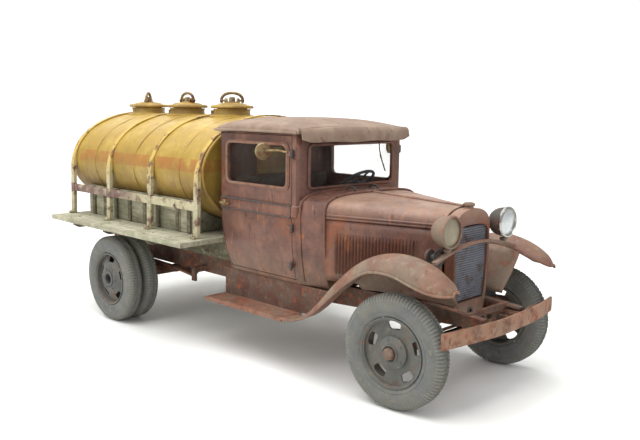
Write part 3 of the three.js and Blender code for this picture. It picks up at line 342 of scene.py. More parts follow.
# ---- meshes
class Shape:
    """Collects vertices, in millimetres, and faces, then becomes one object."""

    def __init__(self):
        self.verts = []
        self.faces = []

    def add(self, verts, faces):
        start = len(self.verts)
        self.verts += [Vector(v) for v in verts]
        self.faces += [tuple(i + start for i in f) for f in faces]
        return self

    def rings(self, rings, closed=True, caps=True, wrap=False):
        n = len(rings[0])
        faces = []
        last = len(rings) if wrap else len(rings) - 1
        for r in range(last):
            r2 = (r + 1) % len(rings)
            for i in range(n if closed else n - 1):
                j = (i + 1) % n
                faces.append((r * n + i, r * n + j, r2 * n + j, r2 * n + i))
        if caps and not wrap:
            faces.append(tuple(range(n))[::-1])
            faces.append(tuple((len(rings) - 1) * n + i for i in range(n)))
        return self.add([p for ring in rings for p in ring], faces)

    def turn(self, profile, centre, axis, count=64, closed=False):
        """Turns [radius, distance] pairs round an axis. A closed profile joins its ends."""
        axis = Vector(axis).normalized()
        side = axis.orthogonal().normalized()
        other = axis.cross(side)
        rings = []
        for k in range(count):
            a = TAU * k / count
            out = side * cos(a) + other * sin(a)
            rings.append([Vector(centre) + axis * h + out * r for r, h in profile])
        return self.rings(rings, closed=closed, caps=False, wrap=True)

    def tube(self, points, r, sides=10, loop=False):
        """A round wire along points."""
        points = [Vector(p) for p in points]
        rings = []
        count = len(points)
        normal = None
        for i, p in enumerate(points):
            a = points[i - 1] if (loop or i) else p
            b = points[(i + 1) % count] if (loop or i + 1 < count) else p
            along = (b - a).normalized()
            if normal is None:
                normal = along.orthogonal().normalized()
            normal = (normal - along * normal.dot(along)).normalized()
            cross = along.cross(normal)
            rings.append([p + (normal * cos(TAU * k / sides) + cross * sin(TAU * k / sides)) * r
                          for k in range(sides)])
        return self.rings(rings, wrap=loop)

    def block(self, x, s, z):
        """A box between two places across, two ahead of the rear axle and two up."""
        low, high = P(min(x), max(s), z[0]), P(max(x), min(s), z[1])
        corners = [Vector((cx, cy, cz)) for cz in (low.z, high.z) for cy in (low.y, high.y) for cx in (low.x, high.x)]
        return self.add(corners, [(0, 2, 3, 1), (4, 5, 7, 6), (0, 1, 5, 4), (2, 6, 7, 3), (0, 4, 6, 2), (1, 3, 7, 5)])

    def bolt(self, centre, axis, r=0.9, h=0.7, sides=6):
        return self.turn([(0, 0), (r, 0), (r, h * 0.7), (r * 0.8, h), (0, h)], centre, axis, sides)

    def object(self, name, material, body="chassis", hides=(), angle=35, bevel=0, thick=0):
        mesh = bpy.data.meshes.new(name)
        mesh.from_pydata([v * MM for v in self.verts], [], self.faces)
        return finish_piece(name, mesh, material, body, hides, angle, bevel, thick)


def finish_piece(name, mesh, material, body, hides, angle, bevel=0, thick=0):
    """Makes the mesh a piece that rides on body and stands for the nodes in hides. Lengths are in millimetres."""
    bm = bmesh.new()
    bm.from_mesh(mesh)
    bmesh.ops.remove_doubles(bm, verts=bm.verts, dist=1e-7)
    bmesh.ops.recalc_face_normals(bm, faces=bm.faces)
    bm.to_mesh(mesh)
    bm.free()
    mesh.materials.clear()
    mesh.materials.append(material)
    mesh.shade_smooth()
    mesh.set_sharp_from_angle(angle=radians(angle))
    obj = bpy.data.objects.new(name, mesh)
    bpy.context.scene.collection.objects.link(obj)
    if thick:
        mod = obj.modifiers.new("thickness", "SOLIDIFY")
        mod.thickness = thick * MM
        mod.offset = -1
    if bevel:
        mod = obj.modifiers.new("worn edges", "BEVEL")
        mod.width = bevel * MM
        mod.segments = 2
        mod.limit_method = "ANGLE"
        mod.angle_limit = radians(40)
        mod.harden_normals = True
    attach(obj, body)
    if hides:
        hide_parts(*hides)
    return obj


def refined(node, material, body, bevel=0.25, angle=35):
    """A copy of a CAD node's mesh with softened edges, in its place."""
    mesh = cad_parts[node].data.copy()
    return finish_piece(node + "_skin", mesh, material, body, [node], angle, bevel)


def superellipse(w, low, high, power, steps, start=0, stop=pi):
    points = []
    for t in spread(start, stop, steps + 1):
        c, d = cos(t), sin(t)
        points.append((w * copysign(abs(c) ** (2 / power), c), low + (high - low) * max(d, 0) ** (2 / power)))
    return points


# ---- wheels
low, high = node_box("rear_tyre_left_outer")
WHEEL_R = (high.z - low.z) / 2
AXLE_Z = 26
TREAD_BLOCKS = 96
TWIN_GAP = 11.2
KING_PIN, STUB, FRONT_AXLE_S = 36.5, 7.3, 208.8
STEER_AT_REST = radians(5)
# A rim's outer lip, barrel and inner lip: radius, and distance out from the wheel's middle plane.
RIM_LIPS = [(15, 3.9), (15.4, 4.35), (15.95, 4.3), (15.9, 3.6), (15.2, 3.2), (15.1, -3.4), (15.9, -3.9),
            (15.6, -4.3)]


def spoke(axis, a):
    """The direction out from a level axis, at angle a above its front, and the direction on round the rim."""
    ahead = axis.cross(UP).normalized()
    return ahead * cos(a) + UP * sin(a), ahead * -sin(a) + UP * cos(a)


def tyre(name, centre, axis, body, node):
    """A round-shouldered carcass, and its tread: fine ribs round each shoulder and a zigzag band in the middle."""
    axis, centre = Vector(axis).normalized(), Vector(centre)
    wide, crown = 4.8, WHEEL_R - 0.3
    half = [(16.1, 3.7), (16.9, 4.3), (17.9, 4.6), (18.2, 4.4), (18.7, 4.65), (20.6, wide), (22.3, wide - 0.05),
            (23.5, wide - 0.4), (24.5, wide - 1), (25.2, wide - 1.75), (crown, wide - 2.7), (crown, 0.4),
            (crown - 0.4, 0.2)]
    carcass = Shape().turn(half + [(r, -h) for r, h in reversed(half)], centre, axis, 96, closed=True)
    carcass.object(name, tyre_rubber, body, [node], angle=30)
    ribs = ((23.2, 4.42, 0), (24.4, 3.98, 0), (25.3, 3.2, 0.05), (WHEEL_R - 0.02, 2.1, 0.1))
    tread = Shape()
    for k in range(TREAD_BLOCKS):
        lean = 0.55 if k % 2 else -0.55
        for sign in (1, -1):
            out, along = spoke(axis, TAU * (k + (0.5 if sign > 0 else 0)) / TREAD_BLOCKS)

            def at(r, h, d):
                return centre + out * r + axis * (sign * h) + along * d

            tread.rings([[at(r - 0.3, h - 0.3, d - 0.42), at(r, h + 0.12, d - 0.36), at(r, h + 0.12, d + 0.36),
                          at(r - 0.3, h - 0.3, d + 0.42)] for r, h, d in ribs])
            tread.rings([[at(crown - 0.2, h, d - 0.36), at(WHEEL_R, h, d - 0.3), at(WHEEL_R, h, d + 0.3),
                          at(crown - 0.2, h, d + 0.36)] for h, d in ((0.5, -lean), (1.15, lean), (1.8, -lean))])
    tread.object(f"{name}_tread", tread_dust_and_highlight, body, angle=30)


def disc_with_windows(profile, centre, axis, windows):
    """Turns an open profile and leaves out five rounded windows: inner and outer radius, half width."""
    count, many = 200, 5
    r0, r1, half_w = windows
    mid, high = (r0 + r1) / 2, (r1 - r0) / 2
    fine = []
    for (ra, ha), (rb, hb) in zip(profile, profile[1:]):
        parts = 12 if min(ra, rb) < r1 and max(ra, rb) > r0 else 1
        fine += [(lerp(ra, rb, i / parts), lerp(ha, hb, i / parts)) for i in range(parts)]
    fine.append(profile[-1])
    n = len(fine)
    verts, faces = [], []
    for k in range(count):
        out, _ = spoke(axis, TAU * k / count)
        verts += [centre + axis * h + out * r for r, h in fine]
        turn = ((k + 0.5) / count * many + 0.25) % 1 - 0.5  # the quarter puts one window at the top
        j = (k + 1) % count
        for i in range(n - 1):
            r = (fine[i][0] + fine[i + 1][0]) / 2
            across = abs(turn) / many * TAU * r
            reach = half_w * (0.8 + 0.2 * (r - r0) / (r1 - r0))
            if not (r0 < r < r1 and (across / reach) ** 4 + (abs(r - mid) / high) ** 4 < 1):
                faces.append((k * n + i, k * n + i + 1, j * n + i + 1, j * n + i))
    return Shape().add(verts, faces)


def front_rim(hand, side, centre, axis):
    body, out = f"front_wheel_{hand}", axis * side
    profile = [(5.8, 3), (6.6, 2.6), (7, 1.5), (8, 0.9), (9.4, 0.75), (10.6, 0.8), (13.9, 1.5), (14.6, 2),
               (14.9, 2.9)] + RIM_LIPS
    disc = disc_with_windows(profile, centre, out, (10.2, 14, 3.4))
    disc.object(f"front_rim_disc_{body}", rim_paint, body, [f"front_rim_{hand}"], thick=0.7)
    hub = Shape().turn([(0, 2), (7.4, 1.8), (7.3, 2.6), (6.6, 3.1), (5.2, 3.6), (4.2, 4.1), (3.9, 4.9), (3.6, 5.1),
                        (3.3, 4.9), (3.2, 4), (0, 4)], centre, out, 48)
    for k in range(5):
        hub.bolt(centre + spoke(axis, TAU * (k + 0.5) / 5)[0] * 5.7 + out * 3, out, 0.7, 0.7)
    hub.object(f"front_hub_{body}", rim_paint, body, angle=30)
    nut = Shape().turn([(0, 3.9), (2.9, 3.9), (2.85, 5.9), (2.4, 6.4), (1.2, 6.6), (0, 6.6)], centre, out, 8)
    nut.object(f"front_hub_nut_{body}", hub_rust, body, angle=25)
    drum = Shape().turn([(0, -3.2), (9, -3), (9.6, -2.6), (9.6, -1), (9, -0.6), (0, 0.6)], centre, out, 64)
    drum.object(f"front_drum_{body}", chassis_paint, body)


def rear_rim(hand, centre, out):
    body = f"rear_wheels_{hand}"
    profile = [(4.8, 4.2), (6.6, 3.5), (8.6, 2.8), (9.9, 2.4), (14, 0.9), (14.7, 0.7), (14.9, 2.6)] + RIM_LIPS
    disc = disc_with_windows(profile, centre, out, (10.1, 13.8, 3.3))
    disc.object(f"rear_rim_disc_{body}", rim_paint, body, [f"rear_rim_{hand}"], thick=0.7)
    profile = [(5, 3.4), (9.4, 3.4), (13.7, 1.6), (14.8, 0.4), (15.1, 3.6), (15.9, 4.1), (15.6, 4.3), (15.2, 3.4),
               (15.1, -3.4), (15.9, -3.9), (15.6, -4.3)]
    inner = Shape().turn(profile, centre - out * TWIN_GAP, out, 80)
    inner.object(f"rear_rim_inner_{body}", rim_paint, body, thick=0.7)
    hub = Shape().turn([(3.2, -3), (3.2, 4.4), (3.5, 4.8), (4.3, 4.8), (5, 4.3)], centre, out, 40)
    for k in range(6):
        a = TAU * k / 6
        hub.bolt(centre + Vector((0, cos(a), sin(a))) * 6.4 + out * 3.4, out, 0.7, 0.7)
    hub.object(f"rear_hub_{body}", rim_paint, body, angle=30, thick=0.4)
    profile = [(0, 0.6), (3, 0.4), (3.1, -3), (6.6, -3.2), (9, -3.6), (9, -6), (0, -6.4)]
    Shape().turn(profile, centre, out, 40).object(f"rear_bore_{body}", dark_paint, body)


for hand, side in SIDES:
    axis = Vector((cos(STEER_AT_REST), sin(STEER_AT_REST), 0))
    centre = P(side * KING_PIN, FRONT_AXLE_S, AXLE_Z) + axis * (STUB * side)
    tyre(f"tyre_front_{hand}", centre, axis, f"front_wheel_{hand}", f"front_tyre_{hand}")
    front_rim(hand, side, centre, axis)
    outward, centre = Vector((side, 0, 0)), P(side * 58.4, 0, AXLE_Z)
    for place, shift in (("outer", 0), ("inner", TWIN_GAP)):
        tyre(f"tyre_rear_{place}_{hand}", centre - outward * shift, (1, 0, 0), f"rear_wheels_{hand}",
             f"rear_tyre_{hand}_{place}")
    rear_rim(hand, centre, outward)

# ---- chassis
for node in ("chassis_frame", "rear_axle", "front_axle", "engine"):
    refined(node, chassis_paint, "chassis", 0.2)
refined("tie_rod", chassis_paint, "tie_rod", 0.15)
for hand, side in SIDES:
    refined(f"steering_knuckle_{hand}", chassis_paint, f"knuckle_{hand}", 0.15)

low, high = node_box("front_bumper")
front_s, half = AXLE_Y - low.y, (high.x - low.x) / 2
BOW = 5.2  # how far the bar's ends stand behind its middle
section = [(0, 0), (-0.25, 0.5), (-0.35, 3.65), (-0.25, 6.8), (0, 7.3), (1, 7.3), (1.2, 6.9), (1.2, 0.4), (1, 0)]
rings = []
for x in spread(-half, half, 60):
    sway = 0.25 * noise.noise(Vector((x * 0.05, 0, 0)))
    rings.append([P(x, front_s - 0.36 - BOW * (x / half) ** 2 - d, low.z + h + sway) for d, h in section])
Shape().rings(rings).object("bumper_bar", bumper_paint, hides=["front_bumper"], bevel=0.15)
irons = Shape()
for hand, side in SIDES:
    irons.block((side * 13.8, side * 17.6), (240.2, 226), (low.z + 2, low.z + 5.6))
    for x in (15.7, 41.5):
        irons.bolt(P(side * x, front_s - 0.1 - BOW * (x / half) ** 2, low.z + 3.6), FORWARD, 1.5, 0.4, 20)
    # A strap behind the bar on each side. It stays clear of the tyres when they are turned.
    strap = []
    for x in spread(33, 18, 16):
        s = front_s - 3.2 - BOW * (x / half) ** 2 - 1.6 * sin(pi * (33 - x) / 15)
        strap.append([P(side * x, s - d, low.z + h) for d, h in ((0, 1.6), (0, 5.6), (0.6, 5.6), (0.6, 1.6))])
    irons.rings(strap)
irons.object("bumper_irons", bumper_paint, bevel=0.1)

# ---- deck, frame and cradle
low, high = node_box("deck_planks")
planks = Shape()
nails = Shape()
PLANK_GAP = 0.3
seams = [low.x, -56, -40, -24, -8, 8, 24, 40, 56, high.x]
for i, (x0, x1) in enumerate(zip(seams, seams[1:])):
    x0, x1 = x0 + PLANK_GAP / 2, x1 - PLANK_GAP / 2
    lift = random.uniform(-0.12, 0.12)
    rings = []
    rear, front = high.y + random.uniform(-0.7, 0.1), low.y - random.uniform(-0.5, 0)
    for y in spread(rear, front, 24):
        warp = lift + 0.12 * noise.noise(Vector((i * 7.1, y * 0.05, 0)))
        edge = 0.12 * noise.noise(Vector((i * 3.3, y * 0.3, 4)))
        corners = ((x0, low.z), (x1, low.z), (x1, high.z), (x0, high.z))
        rings.append([Vector((x + edge, y, z + warp)) for x, z in corners])
    planks.rings(rings)
    for s in (-40, -3, 44):  # over the three bolsters
        for share in (0.25, 0.75):
            nails.bolt(P(lerp(x0, x1, share), s + random.uniform(-0.5, 0.5), high.z - 0.05), UP, 0.55, 0.25, 10)
planks.object("deck_boards", plank_wood, hides=["deck_planks"], bevel=0.25)
nails.object("deck_nails", dark_paint)
refined("deck_frame", timber_wood, "chassis", 0.3)
refined("tank_cradle", plank_wood, "chassis", 0.25)
battens = Shape()
for hand, side in SIDES:
    for s in (-44, -30, -17, -1, 16, 30, 50, 61):
        battens.block((side * 45.3, side * 46.6), (s + 1.6, s - 1.6), (60.4, 78.6))
battens.object("cradle_battens", timber_wood, bevel=0.2)

# ---- tank
low, high = node_box("tank_shell")
TANK_A = (high.x - low.x) / 2
TANK_Z, TANK_B = 94.5, 31.5  # the oval's middle and its half height
tank_rear, tank_front = AXLE_Y - high.y, AXLE_Y - low.y


def oval(s, shrink, dent=0):
    """The tank's outline at s, drawn in by shrink and dented at random."""
    count = 144
    ring = []
    for k in range(count):
        a = TAU * k / count
        n = dent * noise.noise(Vector((cos(a) * 2.2, sin(a) * 2.2, s * 0.035)))
        ring.append(P((TANK_A - shrink + n) * cos(a), s, TANK_Z + (TANK_B - shrink + n) * sin(a)))
    return ring


# The rolled rim of a head: where it is, and how far it's drawn in.
stations = [(tank_rear + 1.8, 9), (tank_rear + 1.6, 2.6), (tank_rear + 1.2, 1.8), (tank_rear + 0.3, 1.5),
            (tank_rear, 1), (tank_rear + 0.2, 0.3), (tank_rear + 0.8, 0)]
middle = [(s, 0.12) for s in spread(tank_rear + 2.4, tank_front - 2.4, 70)]
front = [(tank_rear + tank_front - s, k) for s, k in reversed(stations)]
rings = [oval(s, k, dent=0.5 if 1 > k > 0.1 else 0) for s, k in stations + middle + front]
rings.insert(0, oval(tank_rear + 1.2, 30))
rings.append(oval(tank_front - 1.2, 30))
tank = Shape().rings(rings)
hatch_stations = [AXLE_Y - (sum(corner.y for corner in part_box(f"fill_lid_{name}")) / 2) / MM
                  for name in ("rear", "middle", "front")]
for s in hatch_stations:
    # A neck with a flanged foot and a rolled lip.
    tank.turn([(14.2, 124.2), (14, 125.7), (13.2, 126.1), (11.5, 126.3), (11, 127), (11, 129),
               (11.4, 129.2), (11.4, 129.9), (10.2, 129.9), (9.8, 129.5), (9.7, 120)], P(0, s, 0), UP, 72)
tank.object("tank_skin", tank_paint, hides=["tank_shell"], angle=40)
seams = Shape()
for s in (tank_rear + 30, tank_rear + 75, tank_front - 22):
    seams.rings([oval(s + d, k) for d, k in ((-0.8, 0), (-0.5, -0.16), (0.5, -0.16), (0.8, 0))], caps=False)
seams.object("tank_seams", tank_paint)

straps = Shape()
DECK_Z = 60.2
HOOP_STATIONS = (-59.2, -13.9, 31.6, 76.9)


def strap_point(t, out):
    """Across and up along a hoop, t from 0 at the left foot to 1 at the right: legs and an oval arch."""
    leg = 0.21  # each leg's share of t
    if leg <= t <= 1 - leg:
        a = (t - leg) / (1 - 2 * leg) * pi
        return (TANK_A + out) * cos(a), TANK_Z + (TANK_B + out) * sin(a)
    sign, t = (1, t) if t < leg else (-1, 1 - t)
    return sign * (TANK_A + out + 0.9 * (1 - t / leg)), lerp(DECK_Z, TANK_Z, t / leg)


for s in HOOP_STATIONS:
    rings = []
    for t in spread(0, 1, 110):
        over = min(1, max(0, (min(t, 1 - t) - 0.2) / 0.06))
        depth, half_w = lerp(2.2, 0.8, over), lerp(1.9, 1.45, over)
        rings.append([P(strap_point(t, o)[0], s + d, strap_point(t, o)[1])
                      for o, d in ((0.15, -half_w), (0.15 + depth, -half_w), (0.15 + depth, half_w), (0.15, half_w))])
    straps.rings(rings)
    for sign in (1, -1):
        straps.block((sign * 51.5, sign * 56), (s + 2, s - 2), (60, 61.2))
        straps.bolt(P(sign * 54.6, s, 61.1), UP, 0.9, 0.7)
        for z in (76, 90):
            straps.bolt(P(sign * 53, s, z), (sign, 0, 0), 0.8, 0.6, 10)
for sign in (1, -1):
    rings = []
    for s in spread(-61, 78.7, 50):
        wob = 0.18 * noise.noise(Vector((sign * 3, s * 0.06, 0)))
        rings.append([P(sign * x, s, z + wob) for x, z in ((51, 74.7), (52.9, 74.7), (52.9, 79.3), (51, 79.3))])
    straps.rings(rings)
straps.object("hoops_and_rails", hoop_paint, hides=["tank_hoops"], bevel=0.18)
lugs = Shape()
for s in HOOP_STATIONS[1:3]:
    for d in (-5, 5):
        lugs.block((d - 1.2, d + 1.2), (s + 1.9, s - 1.9), (126, 129))
    lugs.tube([P(-7, s, 128), P(7, s, 128)], 0.6, 10)
lugs.object("hoop_turnbuckles", worn_steel, bevel=0.15)

# How far each bail's line is turned from the truck's left, in degrees.
BAIL_TURNS = {"rear": 44, "middle": 90, "front": 134}
for s, name in zip(hatch_stations, BAIL_TURNS):
    turn = radians(BAIL_TURNS[name])
    along = Vector((cos(turn), sin(turn), 0))
    across = UP.cross(along)
    lid = Shape()
    lid.turn([(0, 133.8), (3, 133.8), (6, 133.5), (8.8, 132.9), (9.4, 132.4), (10.4, 132.2), (12.2, 132.1),
              (12.8, 131.8), (13, 131.2), (13, 130.6), (12.6, 130.2), (9.2, 130.2), (9, 128.6), (0, 128.5)],
             P(0, s, 0), UP, 80)
    lid.turn([(12.9, 131.5), (13.15, 131.2), (13.15, 130.8), (12.9, 130.5)], P(0, s, 0), UP, 80)
    lid.object(f"lid_{name}_skin", tank_paint, f"lid_{name}", [f"fill_lid_{name}"], angle=30)
    boss = Shape()
    centre = P(0, s, 134.9)
    for sign in (1, -1):
        boss.turn([(0, 0), (1.5, 0), (1.5, 1.6), (1.3, 1.8), (0, 1.8)],
                  centre + along * (sign * 2.8), along * sign, 20)
        foot = [centre + along * (sign * a) + across * b + Vector((0, 0, h))
                for h, b0 in ((-1.6, 1.5), (0.2, 1.4)) for a, b in ((2.8, -b0), (4.6, -b0), (4.6, b0), (2.8, b0))]
        boss.add(foot, [(0, 1, 5, 4), (1, 2, 6, 5), (2, 3, 7, 6), (3, 0, 4, 7), (4, 5, 6, 7), (3, 2, 1, 0)])
    boss.turn([(0, -1.5), (3.4, -1.5), (3.4, -0.8), (2.7, -0.5), (0, -0.5)], centre, UP, 40)
    boss.bolt(centre + Vector((0, 0, -0.6)), UP, 2.1, 2.8)
    boss.object(f"lid_{name}_boss", worn_steel, f"lid_{name}", bevel=0.12)
    path = [centre + along * (6.5 * cos(t)) + Vector((0, 0, 4.7 * sin(t) ** 0.85)) for t in spread(0, pi, 40)]
    bail = Shape().tube(path, 0.95, 14)
    for sign in (1, -1):
        bail.turn([(0, -1.5), (0.6, -1.5), (0.6, 0), (1.35, 0), (1.35, 1.4), (0.9, 1.7), (0, 1.7)],
                  centre + along * (sign * 5.7), along * sign, 20)
    bail.object(f"bail_{name}_wire", worn_steel, f"bail_{name}", [f"lid_bail_{name}"], angle=40)

# ---- cab
# The cab side's distance from the middle at each height.
CAB_HALF_W = [[43, 36.7], [48, 38.1], [54, 39.3], [62, 40.3], [72, 40.9], [80, 41], [125, 41]]
refined("cab_body", cab_paint, "chassis", 0.3, 30)
for hand, side in SIDES:
    refined(f"door_{hand}", cab_paint, f"door_{hand}", 0.25, 30)
    refined(f"door_glass_{hand}", window_glass, f"door_{hand}", 0.1)
refined("windscreen_glass", window_glass, "chassis", 0.1)


def side_x(z):
    return table(CAB_HALF_W, z)


def rounded_loop(u0, u1, z0, z1, r, steps):
    """Points round a rectangle with rounded corners."""
    points = []
    for quarter, (u, z) in enumerate(((u1 - r, z1 - r), (u0 + r, z1 - r), (u0 + r, z0 + r), (u1 - r, z0 + r))):
        for i in range(steps + 1):
            a = (quarter + i / steps) * pi / 2
            points.append((u + r * cos(a), z + r * sin(a)))
    return points


for hand, side in SIDES:
    body = f"door_{hand}"
    bead = [P(side * 41.35, s, z) for s, z in rounded_loop(89.4, 136.6, 91.4, 113.2, 3.4, 8)]
    Shape().tube(bead, 0.75, 10, loop=True).object(f"window_bead_{hand}", board_paint, body)
    trim = Shape()
    for z in (77.2, 83):
        trim.tube([P(side * (side_x(z) + 0.75), s, z) for s in spread(85.2, 139.2, 12)], 0.45, 8)
    trim.object(f"belt_trim_{hand}", dark_paint, body)
    handle = Shape().turn([(0, 0), (1.7, 0), (1.7, 0.5), (1.1, 0.9), (0.8, 2.4), (0, 2.4)],
                          P(side * 41.6, 87.4, 80), (side, 0, 0), 24)
    handle.tube([P(side * x, s, z) for x, s, z in ((43.6, 86.2, 80.1), (43.9, 88, 80), (43.8, 91, 79.8),
                                                   (43.3, 93.4, 79.6))], 0.75, 12)
    handle.object(f"door_handle_{hand}", worn_steel, body)
    hinges = Shape()
    for z in (109, 72, 53):
        hinges.turn([(0, -2.3), (0.5, -2.3), (0.85, -1.9), (0.85, 1.9), (0.5, 2.3), (0, 2.3)],
                    P(side * 42, 140.5, z), UP, 20)
    hinges.object(f"door_hinges_{hand}", dark_paint, body)
    centre = P(side * 49, 127.4, 109.8)
    facing = Vector((side * 0.35, -1, 0)).normalized()
    mirror = Shape().turn([(0, -0.85), (3.7, -0.8), (4.25, -0.4), (4.3, 0.1), (3.9, 0.8), (2, 1.2), (0, 1.3)],
                          centre, facing, 48)
    arm = [P(side * 43.1, 138.4, 109.6), P(side * 45, 134, 110.4), P(side * 47.4, 129.8, 110.2), centre]
    mirror.tube(arm, 0.5, 10)
    mirror.object(f"mirror_{hand}_skin", worn_steel, body, [f"mirror_{hand}"])

# The roof, its drip rail, the bowed visor and the screen's frame.
ROOF_CROWN = [[81, 121.2], [82, 122.5], [84, 123.8], [90, 125.2], [104, 126.3], [122, 125.8], [136, 124.2],
              [146, 122.4]]
ROOF_HALF_W = [[81, 40.6], [81.4, 41.6], [83, 42.6], [85, 43], [146, 43]]
rings = []
for s in [81, 81.3, 82, 83, 84.5] + spread(87, 145.4, 24) + [146]:
    w = table(ROOF_HALF_W, s)
    arch = superellipse(w, 119.6, table(ROOF_CROWN, s), 2.9, 40)
    ripple = 0.25 * noise.noise(Vector((s * 0.05, 1, 2)))
    rings.append([P(x, s, z + ripple * (z - 119) / 7) for x, z in [(w, 118.7)] + arch + [(-w, 118.7)]])
Shape().rings(rings).object("roof_skin", roof_paint, hides=["cab_roof"], angle=38)
drip = Shape()
for hand, side in SIDES:
    drip.tube([P(side * 43.1, s, 119.4 - 0.3 * ((s - 112) / 32) ** 2) for s in spread(82, 145, 20)], 0.7, 10)
drip.tube([P(x, 81.2, 119.4) for x in spread(-42, 42, 10)], 0.6, 8)
drip.object("drip_rail", roof_paint)

VISOR_HALF_W = 41.5
rings = []
for x in spread(-VISOR_HALF_W, VISOR_HALF_W, 50):
    k = abs(x) / VISOR_HALF_W
    bow = 4.2 * k * k
    sag = 0.5 * noise.noise(Vector((x * 0.06, 0, 0)))
    drop = 1.6 * max(0, k - 0.86) / 0.14
    line = [(147 - bow * 0.5, 122.6 - 1.1 * k), (149.2 - bow * 0.7, 121.9 - 0.9 * k),
            (150.9 - bow * 0.85, 119.8 - 0.5 * k), (151.8 - bow, 117.4), (152.1 - bow, 114.8 + drop + sag)]
    rings.append([P(x, s, z) for s, z in line + [(s - 0.6, z - 0.35) for s, z in reversed(line)]])
Shape().rings(rings).object("visor_skin", roof_paint, hides=["sun_visor"], angle=50)

screen = [P(x, 143, z) for x, z in rounded_loop(-32.4, 32.4, 91.2, 113.2, 2.6, 6)]
Shape().tube(screen, 0.85, 10, loop=True).object("screen_frame", cab_paint)
wiper = Shape().tube([P(20, 143.9, 113.6), P(20.4, 144, 109), P(23, 144.1, 102)], 0.3, 8)
wiper.tube([P(20.8, 144.1, 106.6), P(25.4, 144.1, 97.6)], 0.35, 8)
wiper.object("wiper", dark_paint)

cowl = Shape()
for s, r in ((157.3, 0.8), (144.2, 0.6)):
    k = (s - 141) / 17
    w = lerp(41, 35.7, max(0, k) ** 0.8)
    arch = superellipse(w, 78.5, lerp(90.2, 89.1, k), 4, 50)
    legs = [(w * side_x(z) / 41, z) for z in spread(45, 77, 14)]
    line = legs + arch + [(-x, z) for x, z in reversed(legs)]
    cowl.tube([P(x, s, z) for x, z in line], r, 10)
cowl.object("cowl_beads", cab_paint)

# ---- inside the cab
def pad(node, crown, face):
    """A stuffed pad in a node's box: rounded all over, its face crowned into eight rolls."""
    nx, ny, rolls = 60, 24, 8
    low, high = node_box(node)
    rings = []
    for i in range(nx + 1):
        u = i / nx
        x = lerp(low.x, high.x, u)
        end = (1 - abs(2 * u - 1) ** 10) ** 0.25 if 0 < u < 1 else 0
        puff = crown * (0.5 + 0.5 * abs(sin(pi * rolls * u))) * end
        ring = []
        for j in range(ny):
            a = TAU * j / ny
            c, d = (copysign(abs(wave) ** 0.45, wave) for wave in (cos(a), sin(a)))
            y = (low.y + high.y) / 2 + (high.y - low.y) / 2 * c * (0.9 + 0.1 * end)
            z = (low.z + high.z) / 2 + (high.z - low.z) / 2 * d * (0.85 + 0.15 * end)
            if face == "top" and d > 0:
                z += (puff - crown) * d
            if face == "front" and c < 0:
                y += (puff - crown) * c
            ring.append(Vector((x, y, z)))
        rings.append(ring)
    piece = Shape().rings(rings).object(f"{node}_pad", seat_leather, hides=[node], angle=60)


pad("seat_cushion", 1.2, "top")
pad("seat_back", 1, "front")

column = (Vector((0, 21, 29.8))).normalized()
hub = P(17, 130, 91)
wheel = Shape()
wheel.turn([(11 + 0.85 * cos(a), 0.85 * sin(a)) for a in spread(0, TAU, 13)[:-1]], hub, column, 60, closed=True)
for k in range(4):
    a = radians(45 + 90 * k)
    side_dir = column.orthogonal().normalized()
    other = column.cross(side_dir)
    out = side_dir * cos(a) + other * sin(a)
    wheel.tube([hub, hub + out * 5.5 - column * 0.4, hub + out * 11], 0.55, 10)
wheel.turn([(0, -2), (1.9, -2), (2.1, -0.6), (1.6, 0.8), (0, 1.1)], hub, column, 30)
wheel.object("steering_wheel_skin", wheel_plastic, "steering_wheel", ["steering_wheel"])
refined("steering_column", dark_paint, "chassis", 0.1)
dash = Shape().block((-39, 39), (141.5, 139.8), (82, 90.2))
for x in (-6, 0, 6):
    dash.turn([(0, 0), (2.4, 0), (2.4, 0.5), (1.9, 0.6), (0, 0.3)], P(x, 139.8, 86), (0, 1, 0), 24)
dash.object("dashboard", inside_paint, bevel=0.4)

# ---- hood
HOOD_REAR, HOOD_FRONT = 158, 212.5
HINGE_GAP = 1.3  # from the middle to a top panel's edge


def hood_share(s):
    return (s - HOOD_REAR) / (HOOD_FRONT - HOOD_REAR)


def hood_w(s):
    return lerp(35.4, 15.4, hood_share(s))


def hood_split(s):
    """The height of the joint between the top panel and the louvred side."""
    return 78.2 - 0.8 * hood_share(s)


